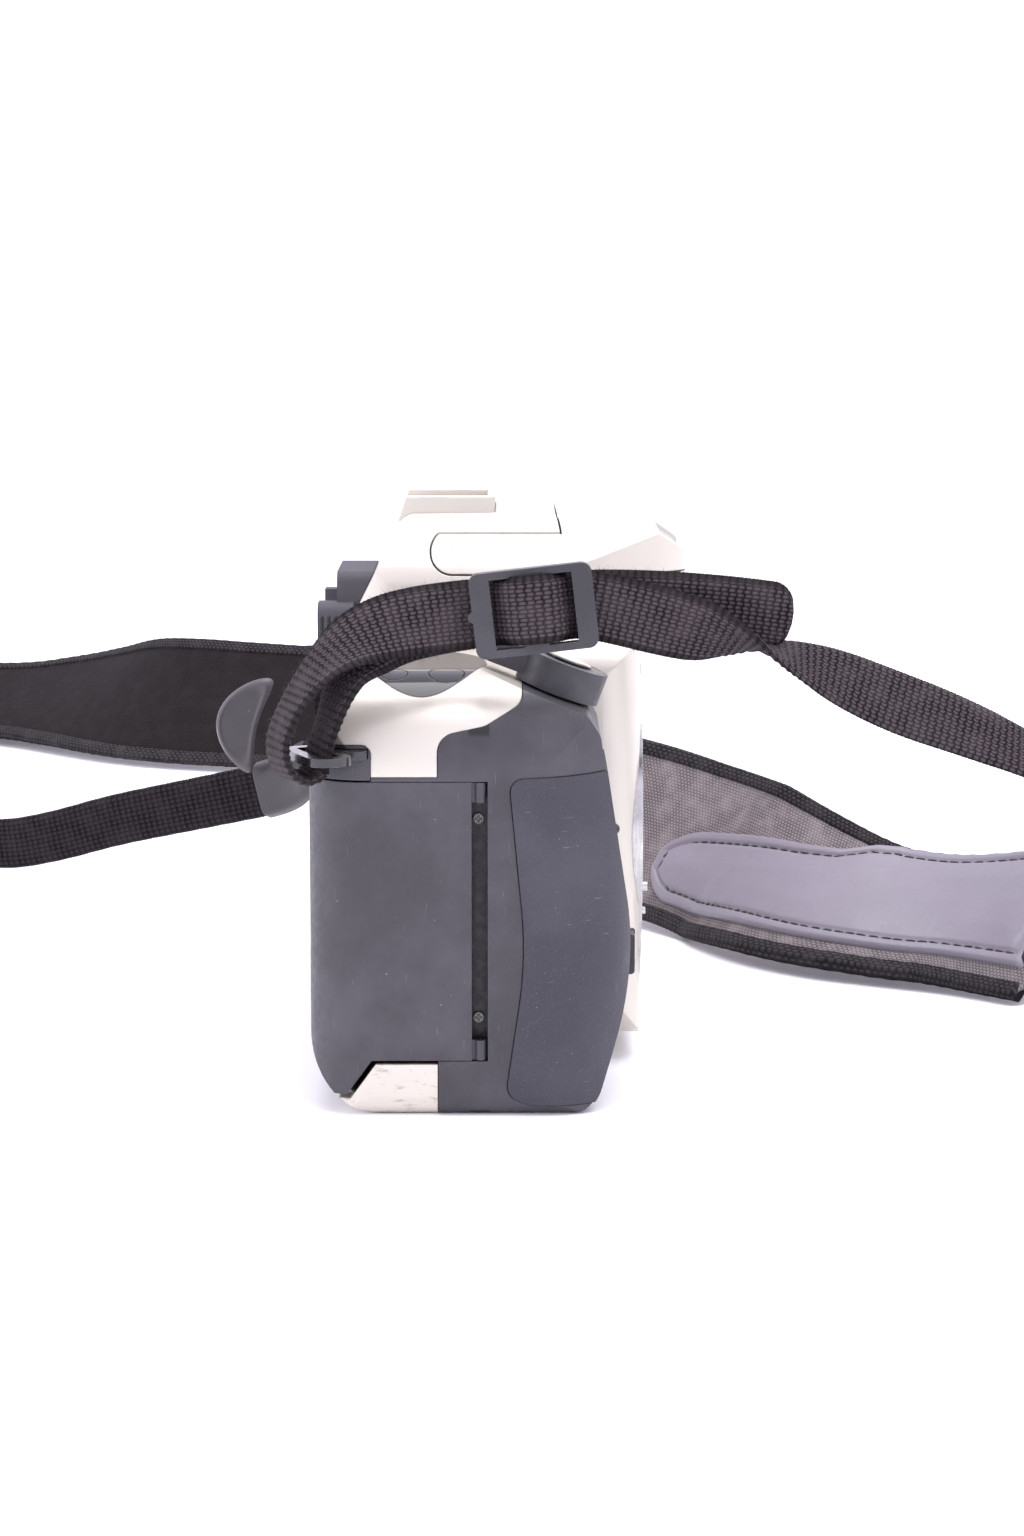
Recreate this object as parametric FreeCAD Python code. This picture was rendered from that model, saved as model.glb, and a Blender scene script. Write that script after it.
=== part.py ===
import FreeCAD, Part
import math
import os
from FreeCAD import Vector

# Film single-lens reflex camera body with a neck strap, in millimetres.
# X runs along the width, with the hand grip at -X. -Y is the lens side, +Y the back.
# Z is up from the base. The origin is on the base, at the tripod socket, under the
# lens axis.

# ---------------------------------------------------------------- driving sizes
body_width = 135.0          # grip end to far end
back_y = 30.5               # outer face of the film door
front_y = -3.0              # front wall beside the lens mount
deck_z = 66.0               # top deck
wall = 1.5                  # moulded covers
seam = 0.12                 # gap between neighbouring covers
door_wall = 1.8
door_bottom_z = 8.5
door_top_z = 50.6
roof_z = 86.5               # top of the prism hump
grip_front_y = -18.2        # the grip's nose before its bulge is rounded
grip_room = 28.0            # width inside the grip, over its two cells
mount_front_y = -20.3       # front wall round the lens mount
half_prism = 21.5
axis_z = 36.0               # lens axis above the base
film_y = 24.7               # film plane
flange_to_film = 45.5       # register of the lens mount

# clearances of working fits
slide_gap = 0.15
pin_gap = 0.05
swing_gap = 0.3

# film gate and shutter
gate_width = 36.0
gate_height = 24.0
blade_thick = 0.25

# mirrors
mirror_y = 12.0             # mirror pivot
mirror_z = 48.9
mirror_length = 26.0
mirror_thick = 1.2
sub_mirror_at = 15.0        # from the mirror's pivot to the sub-mirror's
sub_mirror_length = 10.0

# working pieces
spool_radius = 6.4
cassette_radius = 12.5
cell_radius = 7.6
cell_length = 27.0
tripod_hole_radius = 3.175  # a quarter-inch socket, major radius
tripod_depth = 7.0
bush_flange = 2.4
tongue_height = 3.3         # base plate under the lens mount
throat_radius = 22.0        # clear opening inside the bayonet's tabs
mount_neck_length = 1.7
lens_stop_thick = 0.9       # the round stop behind a lens's tabs
shoe_slot_width = 18.7      # standard accessory shoe
shoe_opening = 12.5
shoe_slot_height = 2.1
webbing_width = 10.0
webbing_radius = 1.6        # the narrow strap's plain solid
band_height = 34.0
band_thick = 2.4
lug_thick = 1.3

far = 300.0                 # longer than anything that it cuts

# ---------------------------------------------------------------- worked-out places
grip_end = -body_width / 2.0
far_end = body_width / 2.0
grip_inner_x = grip_end + wall + grip_room
top_split_z = door_top_z + 0.8
flange_y = film_y - flange_to_film
mount_neck_radius = throat_radius + 2.8
mount_ring_radius = throat_radius + 8.5
half_mount = mount_ring_radius + 2.5   # half the width of the wall round the mount
hinge_x = grip_end + 0.9
hinge_y = 4.7
hump_foot_z = deck_z - 3.6
flash_y = 9.5               # axis that the flash head turns on
flash_z = roof_z - 6.0
flash_swing_radius = 17.6   # between the pivot and the seam across the roof
flash_base_z = flash_z - 3.4
brim_z = flash_base_z - 2.3  # underside of the fixed lip below the flash head
arm_x = half_prism - 5.0
release_x = grip_end + 17.5
release_y = -6.6
nose_front_y = grip_front_y + 6.8
nose_rear_y = 4.5
nose_drop = 6.0             # fall of the deck over the grip's nose
nose_slope = nose_drop / (nose_rear_y - nose_front_y)
release_tilt = math.degrees(math.atan(nose_slope))
release_z = deck_z - nose_slope * (nose_rear_y - release_y)
spool_x = grip_end + 21.5
spool_y = 18.6
cassette_x = far_end - 21.5
cassette_y = 13.0
panel_x = grip_end + 20.5
panel_y = 13.5
dial_x = far_end - 21.0
dial_y = 12.5
shoe_y = 10.6
shoe_length = 15.6
eye_z = roof_z - 17.0
gate_low_z = axis_z - gate_height / 2.0
gate_high_z = axis_z + gate_height / 2.0
shutter_y = 19.2            # front face of the shutter frame
shutter_depth = 2.6
blade_height = gate_height / 2.0 + 1.0
shutter_low_z = gate_low_z - blade_height - 0.4
shutter_high_z = gate_high_z + blade_height + 0.4
shutter_stack_z = gate_high_z + 0.3
blade_pitch = 0.36
chassis_low_z = 3.9
chassis_high_z = 50.2
frame_front_y = 1.2
cell_places = [(grip_end + wall + 1.2 + cell_radius, cell_radius - 13.5),
               (grip_inner_x + 0.4 - cell_radius, 11.1 - cell_radius)]
cell_low_z = 9.6
lid_hinge_x = grip_inner_x - 2.25
lid_hinge_z = 0.45


# ---------------------------------------------------------------- helpers
def spot(u, v, plane, w):
    """A point of a flat outline: u and v in the plane, w along its normal."""
    if plane == "xy":
        return Vector(u, v, w)
    if plane == "yz":
        return Vector(w, u, v)
    return Vector(u, w, v)


def outline(corners, plane, level):
    """A face from (u, v, corner radius), its round corners as tangent arcs."""
    count = len(corners)
    starts = []
    ends = []
    mids = []
    for i in range(count):
        u, v, radius = corners[i]
        here = Vector(u, v, 0)
        back = Vector(corners[i - 1][0], corners[i - 1][1], 0) - here
        ahead = Vector(corners[(i + 1) % count][0], corners[(i + 1) % count][1], 0) - here
        back.normalize()
        ahead.normalize()
        half = back.getAngle(ahead) / 2.0
        reach = radius / math.tan(half)
        bisector = back + ahead
        if radius > 0:
            bisector.normalize()
        centre = here + bisector * (radius / math.sin(half))
        starts.append(here + back * reach)
        ends.append(here + ahead * reach)
        mids.append(centre - bisector * radius)
    edges = []
    for i in range(count):
        following = (i + 1) % count
        if corners[i][2] > 0:
            arc_points = [spot(p.x, p.y, plane, level) for p in (starts[i], mids[i], ends[i])]
            edges.append(Part.Arc(*arc_points).toShape())
        if (starts[following] - ends[i]).Length > 1e-6:
            line_points = [spot(p.x, p.y, plane, level) for p in (ends[i], starts[following])]
            edges.append(Part.LineSegment(*line_points).toShape())
    return Part.Face(Part.Wire(edges))


def slab(corners, plane, low=-far, high=far, inset=0.0):
    """An outline made solid along its plane's normal, from low to high."""
    face = outline(corners, plane, low)
    if inset:
        face = face.makeOffset2D(-inset)
    return face.extrude(spot(0, 0, plane, high - low))


def box(x0, x1, y0, y1, z0, z1):
    return Part.makeBox(x1 - x0, y1 - y0, z1 - z0, Vector(x0, y0, z0))


def rod(x, y, z, radius, length, axis=Vector(0, 0, 1)):
    return Part.makeCylinder(radius, length, Vector(x, y, z), axis)


def pill(x, y, z, radius_x, radius_y, height):
    """An upright oval cylinder."""
    major = max(radius_x, radius_y)
    minor = min(radius_x, radius_y)
    curve = Part.Ellipse(Vector(0, 0, 0), major, minor)
    solid = Part.Face(Part.Wire(curve.toShape())).extrude(Vector(0, 0, height))
    if radius_y > radius_x:
        solid.rotate(Vector(0, 0, 0), Vector(0, 0, 1), 90)
    solid.translate(Vector(x, y, z))
    return solid


def joined(shapes):
    if len(shapes) == 1:
        return shapes[0]
    return shapes[0].fuse(shapes[1:]).removeSplitter()


def mirrored(shape):
    """The same piece at the far end of the camera."""
    return shape.mirror(Vector(0, 0, 0), Vector(1, 0, 0))


def save(name, shape):
    solids = shape.Solids
    group = solids[0] if len(solids) == 1 else Part.Compound(solids)
    group.exportStep("parts/" + name + ".step")
    print(name, "solids", len(solids), "volume", round(group.Volume, 1), "valid", group.isValid())


# ---------------------------------------------------------------- outer form
def body_block(inset=0.0):
    """The slab-shaped part of the body, over its whole width."""
    plan = slab([(grip_end, back_y, 9.0), (far_end, back_y, 10.0),
                 (far_end, front_y, 9.0), (grip_end, front_y, 2.0)], "xy", -far, far, inset)
    side = slab([(back_y, 0.0, 12.0), (back_y, deck_z, 13.0),
                 (front_y, deck_z, 3.0), (front_y, 0.0, 1.0)], "yz", -far, far, inset)
    front = slab([(grip_end, 0.0, 3.0), (grip_end, deck_z, 14.0),
                  (far_end, deck_z, 10.0), (far_end, 0.0, 3.0)], "xz", -far, far, inset)
    return plan.common(side).common(front).cut(above_nose(inset))


def above_nose(inset):
    """The space over the grip's sloped nose, where the release sits."""
    run = nose_rear_y - nose_front_y
    drop = inset * math.hypot(run, nose_drop) / run
    return slab([(nose_front_y - run, deck_z - 2 * nose_drop - drop, 0.0),
                 (nose_rear_y, deck_z - drop, 0.0), (nose_rear_y, deck_z + 20.0, 0.0),
                 (nose_front_y - run, deck_z + 20.0, 0.0)], "yz", -far, grip_inner_x)


def grip_block(inset=0.0):
    """The hand grip, with its bulging front and its sloped nose."""
    plan = slab([(grip_end, 20.0, 0.0), (grip_inner_x, 20.0, 0.0),
                 (grip_inner_x, grip_front_y, 8.0), (grip_end, grip_front_y, 14.0)],
                "xy", -far, far, inset)
    nose_z = deck_z - nose_drop
    side = slab([(20.0, 0.0, 0.0), (grip_front_y + 6.0, 0.0, 5.0), (grip_front_y - 0.6, 21.0, 45.0),
                 (nose_front_y - 1.8, nose_z - 3.0, 3.0), (nose_front_y, nose_z, 1.5),
                 (nose_rear_y, deck_z, 6.0), (20.0, deck_z, 0.0)], "yz", -far, far, inset)
    front = slab([(grip_end, 0.0, 3.0), (grip_end, deck_z, 14.0),
                  (grip_inner_x, deck_z, 0.0), (grip_inner_x, 0.0, 0.0)], "xz", -far, far, inset)
    return plan.common(side).common(front)


def mount_block(inset=0.0):
    """The wall round the lens mount, which stands forward of the body."""
    plan = slab([(-half_mount, 6.0, 0.0), (half_mount, 6.0, 0.0),
                 (half_mount, mount_front_y, 6.0), (-half_mount, mount_front_y, 6.0)],
                "xy", -far, far, inset)
    top_z = brim_z - 0.3
    front = slab([(-half_mount, 3.5, 9.0), (-half_mount, top_z - 10.0, 6.0),
                  (-half_prism, top_z, 3.0), (half_prism, top_z, 3.0),
                  (half_mount, top_z - 10.0, 6.0), (half_mount, 3.5, 9.0)],
                 "xz", -far, far, inset)
    return plan.common(front)


def prism_block(inset=0.0):
    """The hump over the lens mount, with the flash nose at its front."""
    nose_y = -28.2
    side = slab([(25.5, hump_foot_z, 0.0), (25.5, eye_z + 0.5, 3.0), (17.5, roof_z - 0.5, 3.0),
                 (-18.5, roof_z, 9.0), (nose_y, roof_z - 6.5, 3.0),
                 (nose_y, brim_z, 0.6), (front_y, brim_z, 0.0),
                 (front_y, hump_foot_z, 0.0)], "yz", -far, far, inset)
    front = slab([(-half_prism, hump_foot_z, 0.0), (-half_prism, roof_z - 9.0, 6.0),
                  (-13.5, roof_z, 6.0), (13.5, roof_z, 6.0),
                  (half_prism, roof_z - 9.0, 6.0), (half_prism, hump_foot_z, 0.0)],
                 "xz", -far, far, inset)
    plan = slab([(-half_prism, 25.5, 6.0), (half_prism, 25.5, 6.0), (half_prism, -8.0, 12.0),
                 (15.0, nose_y, 7.0), (-15.0, nose_y, 7.0), (-half_prism, -8.0, 12.0)],
                "xy", -far, far, inset)
    return side.common(front).common(plan)


# ---------------------------------------------------------------- where covers part
def grip_region(gap=0.0):
    """What the black grip cover takes of the body: seen from the grip end."""
    region = slab([(-40.0, -5.0, 0.0), (11.0 + gap, -5.0, 0.0),
                   (11.0 + gap, door_bottom_z - seam + gap, 0.0),
                   (hinge_y - 1.1 + gap, door_bottom_z - seam + gap, 0.0),
                   (hinge_y - 1.1 + gap, door_top_z + seam - gap, 0.0),
                   (21.0 + gap, door_top_z + seam - gap, 0.0),
                   (21.0 + gap, top_split_z - seam + gap, 0.0),
                   (11.0 + gap, top_split_z - seam + gap, 0.0),
                   (11.0 + gap, deck_z - 8.6, 3.0), (4.0, deck_z - 7.2, 3.0),
                   (-1.6 + gap, deck_z - 4.0, 2.0), (-1.6 + gap, deck_z + 9.0, 0.0),
                   (-40.0, deck_z + 9.0, 0.0)], "yz", -far, grip_inner_x + gap)
    return region


def door_region(gap=0.0):
    """The film door: the back, and the grip end behind the hinge."""
    low = door_bottom_z - gap
    face = slab([(hinge_y + 1.3 - gap, low, 0.0), (21.0 - gap, low, 0.0),
                 (24.8 - gap, 3.2 - gap, 0.0), (40.0, 3.2 - gap, 0.0),
                 (40.0, door_top_z + gap, 0.0), (hinge_y + 1.3 - gap, door_top_z + gap, 0.0)],
                "yz", -far, far_end - 7.0 + gap)
    inside = box(grip_end + 4.0, far, -far, back_y - 4.0 - gap, -far, far)
    return face.cut(inside)


def lug_region(gap=0.0):
    """The black corner that carries the strap lug."""
    return slab([(21.0 - gap, door_top_z + 0.3 - gap, 0.0),
                 (21.0 - gap, top_split_z + 4.6 + gap, 1.5), (40.0, top_split_z + 4.6 + gap, 0.0),
                 (40.0, door_top_z + 0.3 - gap, 0.0)],
                "yz", -far, grip_end + 9.0 + gap)


def flash_region(gap=0.0):
    """The flash head: the nose ahead of the roof seam, and an arm at each side."""
    base = flash_base_z - gap
    nose = box(-far, far, -far, flash_y, base, far)
    nose = nose.cut(rod(-far, flash_y, flash_z, flash_swing_radius + seam - gap, 2 * far,
                        Vector(1, 0, 0)))
    arm = box(arm_x - gap, far, -far, flash_y, base, far)
    arm_end = rod(arm_x - gap, flash_y, flash_z, flash_z - base, far, Vector(1, 0, 0))
    arm_end = arm_end.cut(box(-far, far, -far, flash_y - 0.1, -far, far))
    arms = [arm, arm_end, mirrored(arm), mirrored(arm_end)]
    return joined([nose] + arms)


def pad_region(gap=0.0):
    """The rubber's outline, seen from the grip end. It wraps the grip's front."""
    return slab([(-40.0, 1.6 - gap, 0.0), (-3.0, 1.6 - gap, 0.0), (0.9 + gap, 3.0, 2.5),
                 (-2.2 + gap, 24.0, 60.0), (0.4 + gap, deck_z - 15.0, 2.0),
                 (-8.0, deck_z - 14.6 + gap, 4.0), (-40.0, deck_z - 12.6 + gap, 0.0)],
                "yz", -far, grip_inner_x - 3.0 + gap)


# ---------------------------------------------------------------- covers
def release_axis():
    tilt = math.radians(release_tilt)
    return Vector(0, -math.sin(tilt), math.cos(tilt))


def release_rod(radius, low, high):
    """A cylinder on the release's own tilted axis, from low to high above the deck."""
    foot = Vector(release_x, release_y, release_z) + release_axis() * low
    return Part.makeCylinder(radius, high - low, foot, release_axis())


def body_shell():
    outer = joined([body_block(), grip_block()])
    inner = joined([body_block(wall), grip_block(wall)])
    return outer.cut(inner)


def panel_outline(grow, low, high):
    return pill(panel_x, panel_y, low, 15.5 + grow, 9.6 + grow, high - low)


def panel_buttons():
    """Places and radii of the two flush buttons."""
    return [(grip_end + 10.5, 17.7, 2.0), (grip_end + 10.5, 9.8, 2.6)]


def mount_screw_places():
    radius = throat_radius + 5.6
    places = []
    for i in range(5):
        angle = math.radians(18.0 + 72.0 * i)
        places.append((radius * math.cos(angle), axis_z + radius * math.sin(angle)))
    return places


def base_screw_places():
    return [(-30.0, 14.0), (far_end - 12.0, 14.0), (far_end - 12.0, 3.5), (-30.0, 3.5)]


def side_screw_places():
    """Heads that face the grip end: two in the hinge slot, one on the mount wall."""
    slot_x = grip_end + 3.1
    return [(slot_x, hinge_y + 0.3, 44.8), (slot_x, hinge_y + 0.3, 14.6),
            (-half_mount, -16.2, 38.0)]


def battery_lid(gap=0.0):
    return slab([(grip_end + 5.0 - gap, 8.6 + gap, 3.0), (grip_inner_x - 2.6 + gap, 8.6 + gap, 3.0),
                 (grip_inner_x - 2.6 + gap, -10.4 - gap, 6.0),
                 (grip_end + 5.0 - gap, -10.4 - gap, 6.0)], "xy", -1.0, wall + 0.05)


def small_screw_holes():
    holes = [rod(x - 0.1, y, z, 0.45, 4.0, Vector(1, 0, 0)) for x, y, z in side_screw_places()]
    return joined(holes)


def eyepiece_opening(grow=0.0):
    return box(-9.0 - grow, 9.0 + grow, 15.0, 40.0, eye_z - 4.5 - grow, eye_z + 4.5 + grow)


def release_holes():
    return release_rod(4.0 + pin_gap, -4.0, 6.0)


def lug_slot_cut():
    return box(grip_end - 3.0, grip_end + 5.5, 21.3, 26.2, lug_low_z() - pin_gap,
               lug_low_z() + lug_thick + pin_gap)


def lug_low_z():
    return top_split_z + 2.8


def top_cover():
    """Deck, shoulders and the apron that runs down the grip end."""
    shape = body_shell().common(box(-far, far, -far, far, top_split_z, far))
    shape = shape.cut(grip_region(seam))
    near_lug = lug_region(seam)
    shape = shape.cut(near_lug).cut(mirrored(near_lug))
    hump = box(-half_prism - seam, half_prism + seam, -far, 25.5 + seam, top_split_z - 1.0, far)
    shape = shape.cut(hump)
    shape = shape.cut(box(-half_mount, half_mount, -far, front_y, -far, far))
    shape = shape.cut(panel_outline(-1.2, 50.0, 80.0))
    shape = shape.cut(panel_outline(pin_gap, 50.0, 80.0).common(panel_skin(pin_gap)))
    for x, y, radius in panel_buttons():
        shape = shape.cut(rod(x, y, 50.0, radius + slide_gap, 30.0))
    shape = shape.cut(rod(dial_x, dial_y, 60.0, 2.0 + pin_gap, 10.0))
    return shape


def panel_skin(gap=0.0):
    """The outer 1.2 mm of the deck."""
    outer = joined([body_block(-1.0), grip_block(-1.0)])
    inner = joined([body_block(1.2 + gap), grip_block(1.2 + gap)])
    return outer.cut(inner)


def control_panel():
    shape = panel_outline(0.0, 50.0, 80.0).common(joined([body_block(), grip_block()]))
    shape = shape.common(panel_skin())
    for x, y, radius in panel_buttons():
        shape = shape.cut(rod(x, y, 50.0, radius + slide_gap, 30.0))
    return shape


def panel_button(index):
    """A flush button: a cap in the panel and a stem under it."""
    x, y, radius = panel_buttons()[index]
    cap = rod(x, y, 50.0, radius, 30.0).common(joined([body_block(), grip_block()]))
    cap = cap.common(panel_skin())
    stem = rod(x, y, deck_z - 9.0, radius * 0.5, 7.0)
    return joined([cap, stem.common(joined([body_block(1.0), grip_block(1.0)]))])


def grip_cover():
    """Black cover of the hand grip, from the base to the nose under the release."""
    shape = body_shell().common(grip_region()).common(
        box(-far, grip_inner_x, -far, far, -far, far))
    shape = shape.cut(lug_region(seam))
    shape = shape.cut(rubber_skin(seam))
    shape = shape.cut(battery_lid(slide_gap))
    shape = shape.cut(rod(lid_hinge_x, -10.5, lid_hinge_z, 0.62, 19.2, Vector(0, 1, 0)))
    shape = shape.cut(release_holes())
    floor_x = grip_end + 3.1
    leaf = box(floor_x, floor_x + 1.2, 0.5, hinge_y + 3.8, door_bottom_z - 2.0, door_top_z + 1.5)
    web = box(grip_end + wall - 0.3, floor_x + 0.2, 0.5, hinge_y - 1.3,
              door_bottom_z - 2.0, door_top_z + 1.0)
    low_boss = box(grip_end + 0.3, floor_x + 0.2, hinge_y - 1.3, hinge_y + 1.5,
                   door_bottom_z - 3.0, door_bottom_z - seam)
    high_boss = box(grip_end + 1.0, floor_x + 0.2, hinge_y - 1.3, hinge_y + 1.5,
                    door_top_z + seam, door_top_z + 2.5)
    shape = joined([shape, leaf, web, low_boss, high_boss])
    shape = shape.cut(hinge_pins()).cut(small_screw_holes())
    return shape


def rubber_skin(gap=0.0):
    """Moulded rubber 1.1 mm thick, standing 0.25 mm proud of the grip."""
    skin = grip_block(-0.25 - gap).cut(grip_block(0.85 + gap))
    return skin.common(pad_region(gap))


def front_cover():
    """Wall round the lens mount, with the front and side of the far end."""
    low_part = body_shell().common(
        box(grip_inner_x + seam, far, -far, far, -far, top_split_z - seam))
    low_part = low_part.cut(bottom_region(seam)).cut(door_region(seam))
    low_part = low_part.cut(box(-half_mount + 2.0, half_mount - 2.0, -far, 0.0, -1.0, far))
    low_part = low_part.cut(mirrored(lug_region(seam)))
    mount_wall = mount_block().cut(mount_block(wall))
    ahead = box(-far, far, -far, front_y - seam, -far, far)
    joint = box(-far, far, -far, front_y + wall, bottom_top_z(), top_split_z - seam)
    mount_wall = mount_wall.common(joined([ahead, joint]))
    shape = joined([low_part, mount_wall])
    shape = shape.cut(bottom_region(seam))
    shape = shape.cut(rod(0, -far, axis_z, mount_ring_radius + seam, 2 * far, Vector(0, 1, 0)).common(
        box(-far, far, -far, front_y - 1.0, -far, far)))
    shape = shape.cut(release_block(4.5, slide_gap)).cut(small_screw_holes())
    return shape.cut(tripod_rod(5.6 + pin_gap, -1.0, 9.5))


def bottom_top_z():
    return door_bottom_z - seam


def bottom_region(gap=0.0):
    """The base, outside the grip, up to the door's lower edge at the grip end."""
    low = box(-far, far, front_y - gap, far, -far, bottom_top_z() + gap)
    return low.cut(grip_region(seam).common(box(-far, grip_inner_x + seam, -far, far, -far, far)))


def bottom_cover():
    """Base plate, with a tongue under the lens mount round the tripod socket."""
    shape = body_shell().common(bottom_region())
    tongue = slab([(-14.0, front_y + wall, 0.0), (14.0, front_y + wall, 0.0),
                   (14.0, -11.5, 5.0), (-14.0, -11.5, 5.0)], "xy", 0.0, tongue_height)
    shape = joined([shape, tongue])
    shape = shape.cut(door_region(0.6))
    shape = shape.cut(tripod_rod(7.0 + pin_gap, -1.0, bush_flange))
    shape = shape.cut(tripod_rod(5.6 + pin_gap, -1.0, 9.5))
    for x, y in base_screw_places():
        shape = shape.cut(rod(x, y, -1.0, 1.0 + pin_gap, 4.0))
        shape = shape.cut(rod(x, y, -1.0, 1.8 + pin_gap, 1.8))
    return shape


def prism_cover():
    """Hump over the mirror, with the fixed lip under the flash head."""
    block = prism_block()
    shape = block.cut(flash_region(swing_gap))
    high = box(-arm_x + 1.8, arm_x - 1.8, front_y + wall, far, hump_foot_z, roof_z - 3.4)
    low = box(-far, far, front_y + wall, far, hump_foot_z, flash_base_z - 2.0)
    shape = shape.cut(prism_block(wall).common(joined([high, low])))
    open_foot = prism_block(wall).common(
        box(-far, far, -far, far, hump_foot_z, hump_foot_z + 2.0 * wall + 0.2))
    open_foot.translate(Vector(0, 0, -wall - 0.1))
    shape = shape.cut(open_foot)
    shape = shape.cut(eyepiece_opening())
    shape = shape.cut(box(-10.7, 10.7, shoe_y - shoe_length / 2 - 0.1, far, roof_z - 1.7, far))
    for side in (-1, 1):
        shape = shape.cut(rod(side * arm_x - 4.0, flash_y, flash_z, 0.9, 8.0, Vector(1, 0, 0)))
    slot_x = half_prism - 4.6
    return shape.cut(box(slot_x - 0.6, slot_x + 0.6, 20.0, 40.0, eye_z - 4.0, eye_z + 4.0))


def flash_pins(radius):
    pins = []
    for side in (-1, 1):
        pins.append(rod(side * arm_x - 1.7, flash_y, flash_z, radius, 3.4, Vector(1, 0, 0)))
    return joined(pins)


def flash_window_block(gap=0.0):
    return box(-12.5 - gap, 12.5 + gap, -40.0, -24.0 + gap, flash_base_z + 1.3 - gap,
               flash_base_z + 6.2 + gap)


def flash_head():
    shape = prism_block().common(flash_region())
    hollow = prism_block(wall + 0.3).common(
        box(-arm_x + 1.5, arm_x - 1.5, -22.0, -10.5, flash_base_z - 1.0, roof_z - 2.0))
    shape = shape.cut(hollow)
    shape = shape.cut(flash_window_block())
    pins = flash_pins(0.9 - pin_gap)
    return joined([shape, pins])


def flash_window():
    return flash_window_block().common(prism_block(0.5))


# ---------------------------------------------------------------- door
def hinge_pins():
    """Two short pins, at the top and the bottom of the door."""
    low = rod(hinge_x, hinge_y, door_bottom_z - 2.6, 0.45, 5.4)
    high = rod(hinge_x, hinge_y, door_top_z - 2.8, 0.45, 4.8)
    return joined([low, high])


def film_door():
    block = body_block().cut(body_block(door_wall))
    shape = block.common(door_region())
    for low in (door_bottom_z + 0.05, door_top_z - 3.05):
        knuckle = rod(hinge_x, hinge_y, low, 0.9, 3.0)
        web = box(hinge_x - 0.4, hinge_x + 0.9, hinge_y, hinge_y + 1.6, low, low + 3.0)
        shape = joined([shape, knuckle, web])
        shape = shape.cut(rod(hinge_x, hinge_y, low - 0.1, 0.45 + pin_gap, 3.2))
    shape = shape.cut(film_window_block(0.0))
    shape = shape.cut(latch_block(slide_gap))
    return shape


def film_window_block(gap=0.0):
    """The slit over the cassette through which the film's label shows."""
    return slab([(cassette_x - 4.0, 20.0, 1.5), (cassette_x + 4.0, 20.0, 1.5),
                 (cassette_x + 4.0, 42.0, 1.5), (cassette_x - 4.0, 42.0, 1.5)],
                "xz", back_y - 5.0, back_y + 5.0, gap)


def film_window():
    return film_window_block().common(body_block(0.3)).cut(body_block(door_wall))


def pressure_plate():
    plate = box(-25.0, 25.0, film_y + 0.6, film_y + 1.4, 20.5, 51.5 - 1.8)
    boss = rod(0, film_y + 1.4, axis_z, 3.0, back_y - door_wall - film_y - 1.4, Vector(0, 1, 0))
    return joined([plate, boss])


def latch_block(gap=0.0):
    """The door latch: a sliding key set in the door's free edge."""
    x = far_end - 13.0
    return box(x - 2.2 - gap, x + 2.2 + gap, back_y - 3.2, back_y + 0.9,
               30.0 - gap, 40.0 + gap)


def door_latch():
    key = latch_block().common(box(-far, far, -far, far, 33.0, 39.8))
    lip = box(far_end - 14.6, far_end - 11.4, back_y - 4.2, back_y - 3.2, 34.0, 38.8)
    return joined([key, lip])


# ---------------------------------------------------------------- lens mount
def lock_pin_rod(radius, front=-40.0, back=-8.0):
    return rod(-throat_radius - 3.0, front, axis_z - 8.7, radius, back - front, Vector(0, 1, 0))


def coupler_rod(radius, front=-40.0, back=-6.0):
    return rod(0.1 - throat_radius, front, axis_z - 13.2, radius, back - front, Vector(0, 1, 0))


def lens_mount_ring():
    """Steel bayonet flange set in the front wall: three tabs, a groove and a rear stop."""
    along = Vector(0, 1, 0)
    plate_y = mount_front_y + wall
    rear_y = plate_y + mount_neck_length
    stop_y = rear_y - lens_stop_thick
    flange = rod(0, flange_y, axis_z, mount_ring_radius, plate_y - flange_y, along)
    neck = rod(0, flange_y, axis_z, mount_neck_radius, rear_y - flange_y, along)
    groove = rod(0, flange_y - 1, axis_z, throat_radius + 1.6, stop_y - flange_y + 1, along)
    throat = rod(0, flange_y - 1, axis_z, throat_radius, rear_y - flange_y + 2, along)
    shape = joined([flange, neck]).cut(groove).cut(throat)
    for i in range(3):
        angle = math.radians(30.0 + 120.0 * i)
        tab = rod(0, flange_y + 0.3, axis_z, throat_radius + 1.8, 1.1, along).cut(throat)
        reach = Vector(math.cos(angle) * 23.0, 0, math.sin(angle) * 23.0)
        keep = Part.makeSphere(10.0, Vector(0, flange_y + 1.0, axis_z) + reach)
        shape = joined([shape, tab.common(keep)])
    for x, z in mount_screw_places():
        shape = shape.cut(rod(x, flange_y - 1, z, 0.8 + pin_gap, 9.0, along))
        shape = shape.cut(rod(x, flange_y - 1, z, 1.5 + pin_gap, 1.9, along))
    return shape.cut(lock_pin_rod(0.75 + slide_gap)).cut(coupler_rod(1.1 + slide_gap))


def mount_screws():
    screws = []
    for x, z in mount_screw_places():
        head = rod(x, flange_y + 0.05, z, 1.5, 0.85, Vector(0, 1, 0))
        shank = rod(x, flange_y + 0.85, z, 0.8, 4.4, Vector(0, 1, 0))
        slot_a = box(x - 1.0, x + 1.0, flange_y - 1, flange_y + 0.5, z - 0.18, z + 0.18)
        slot_b = box(x - 0.18, x + 0.18, flange_y - 1, flange_y + 0.5, z - 1.0, z + 1.0)
        screws.append(joined([head, shank]).cut(slot_a).cut(slot_b))
    return Part.Compound(screws)


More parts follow.
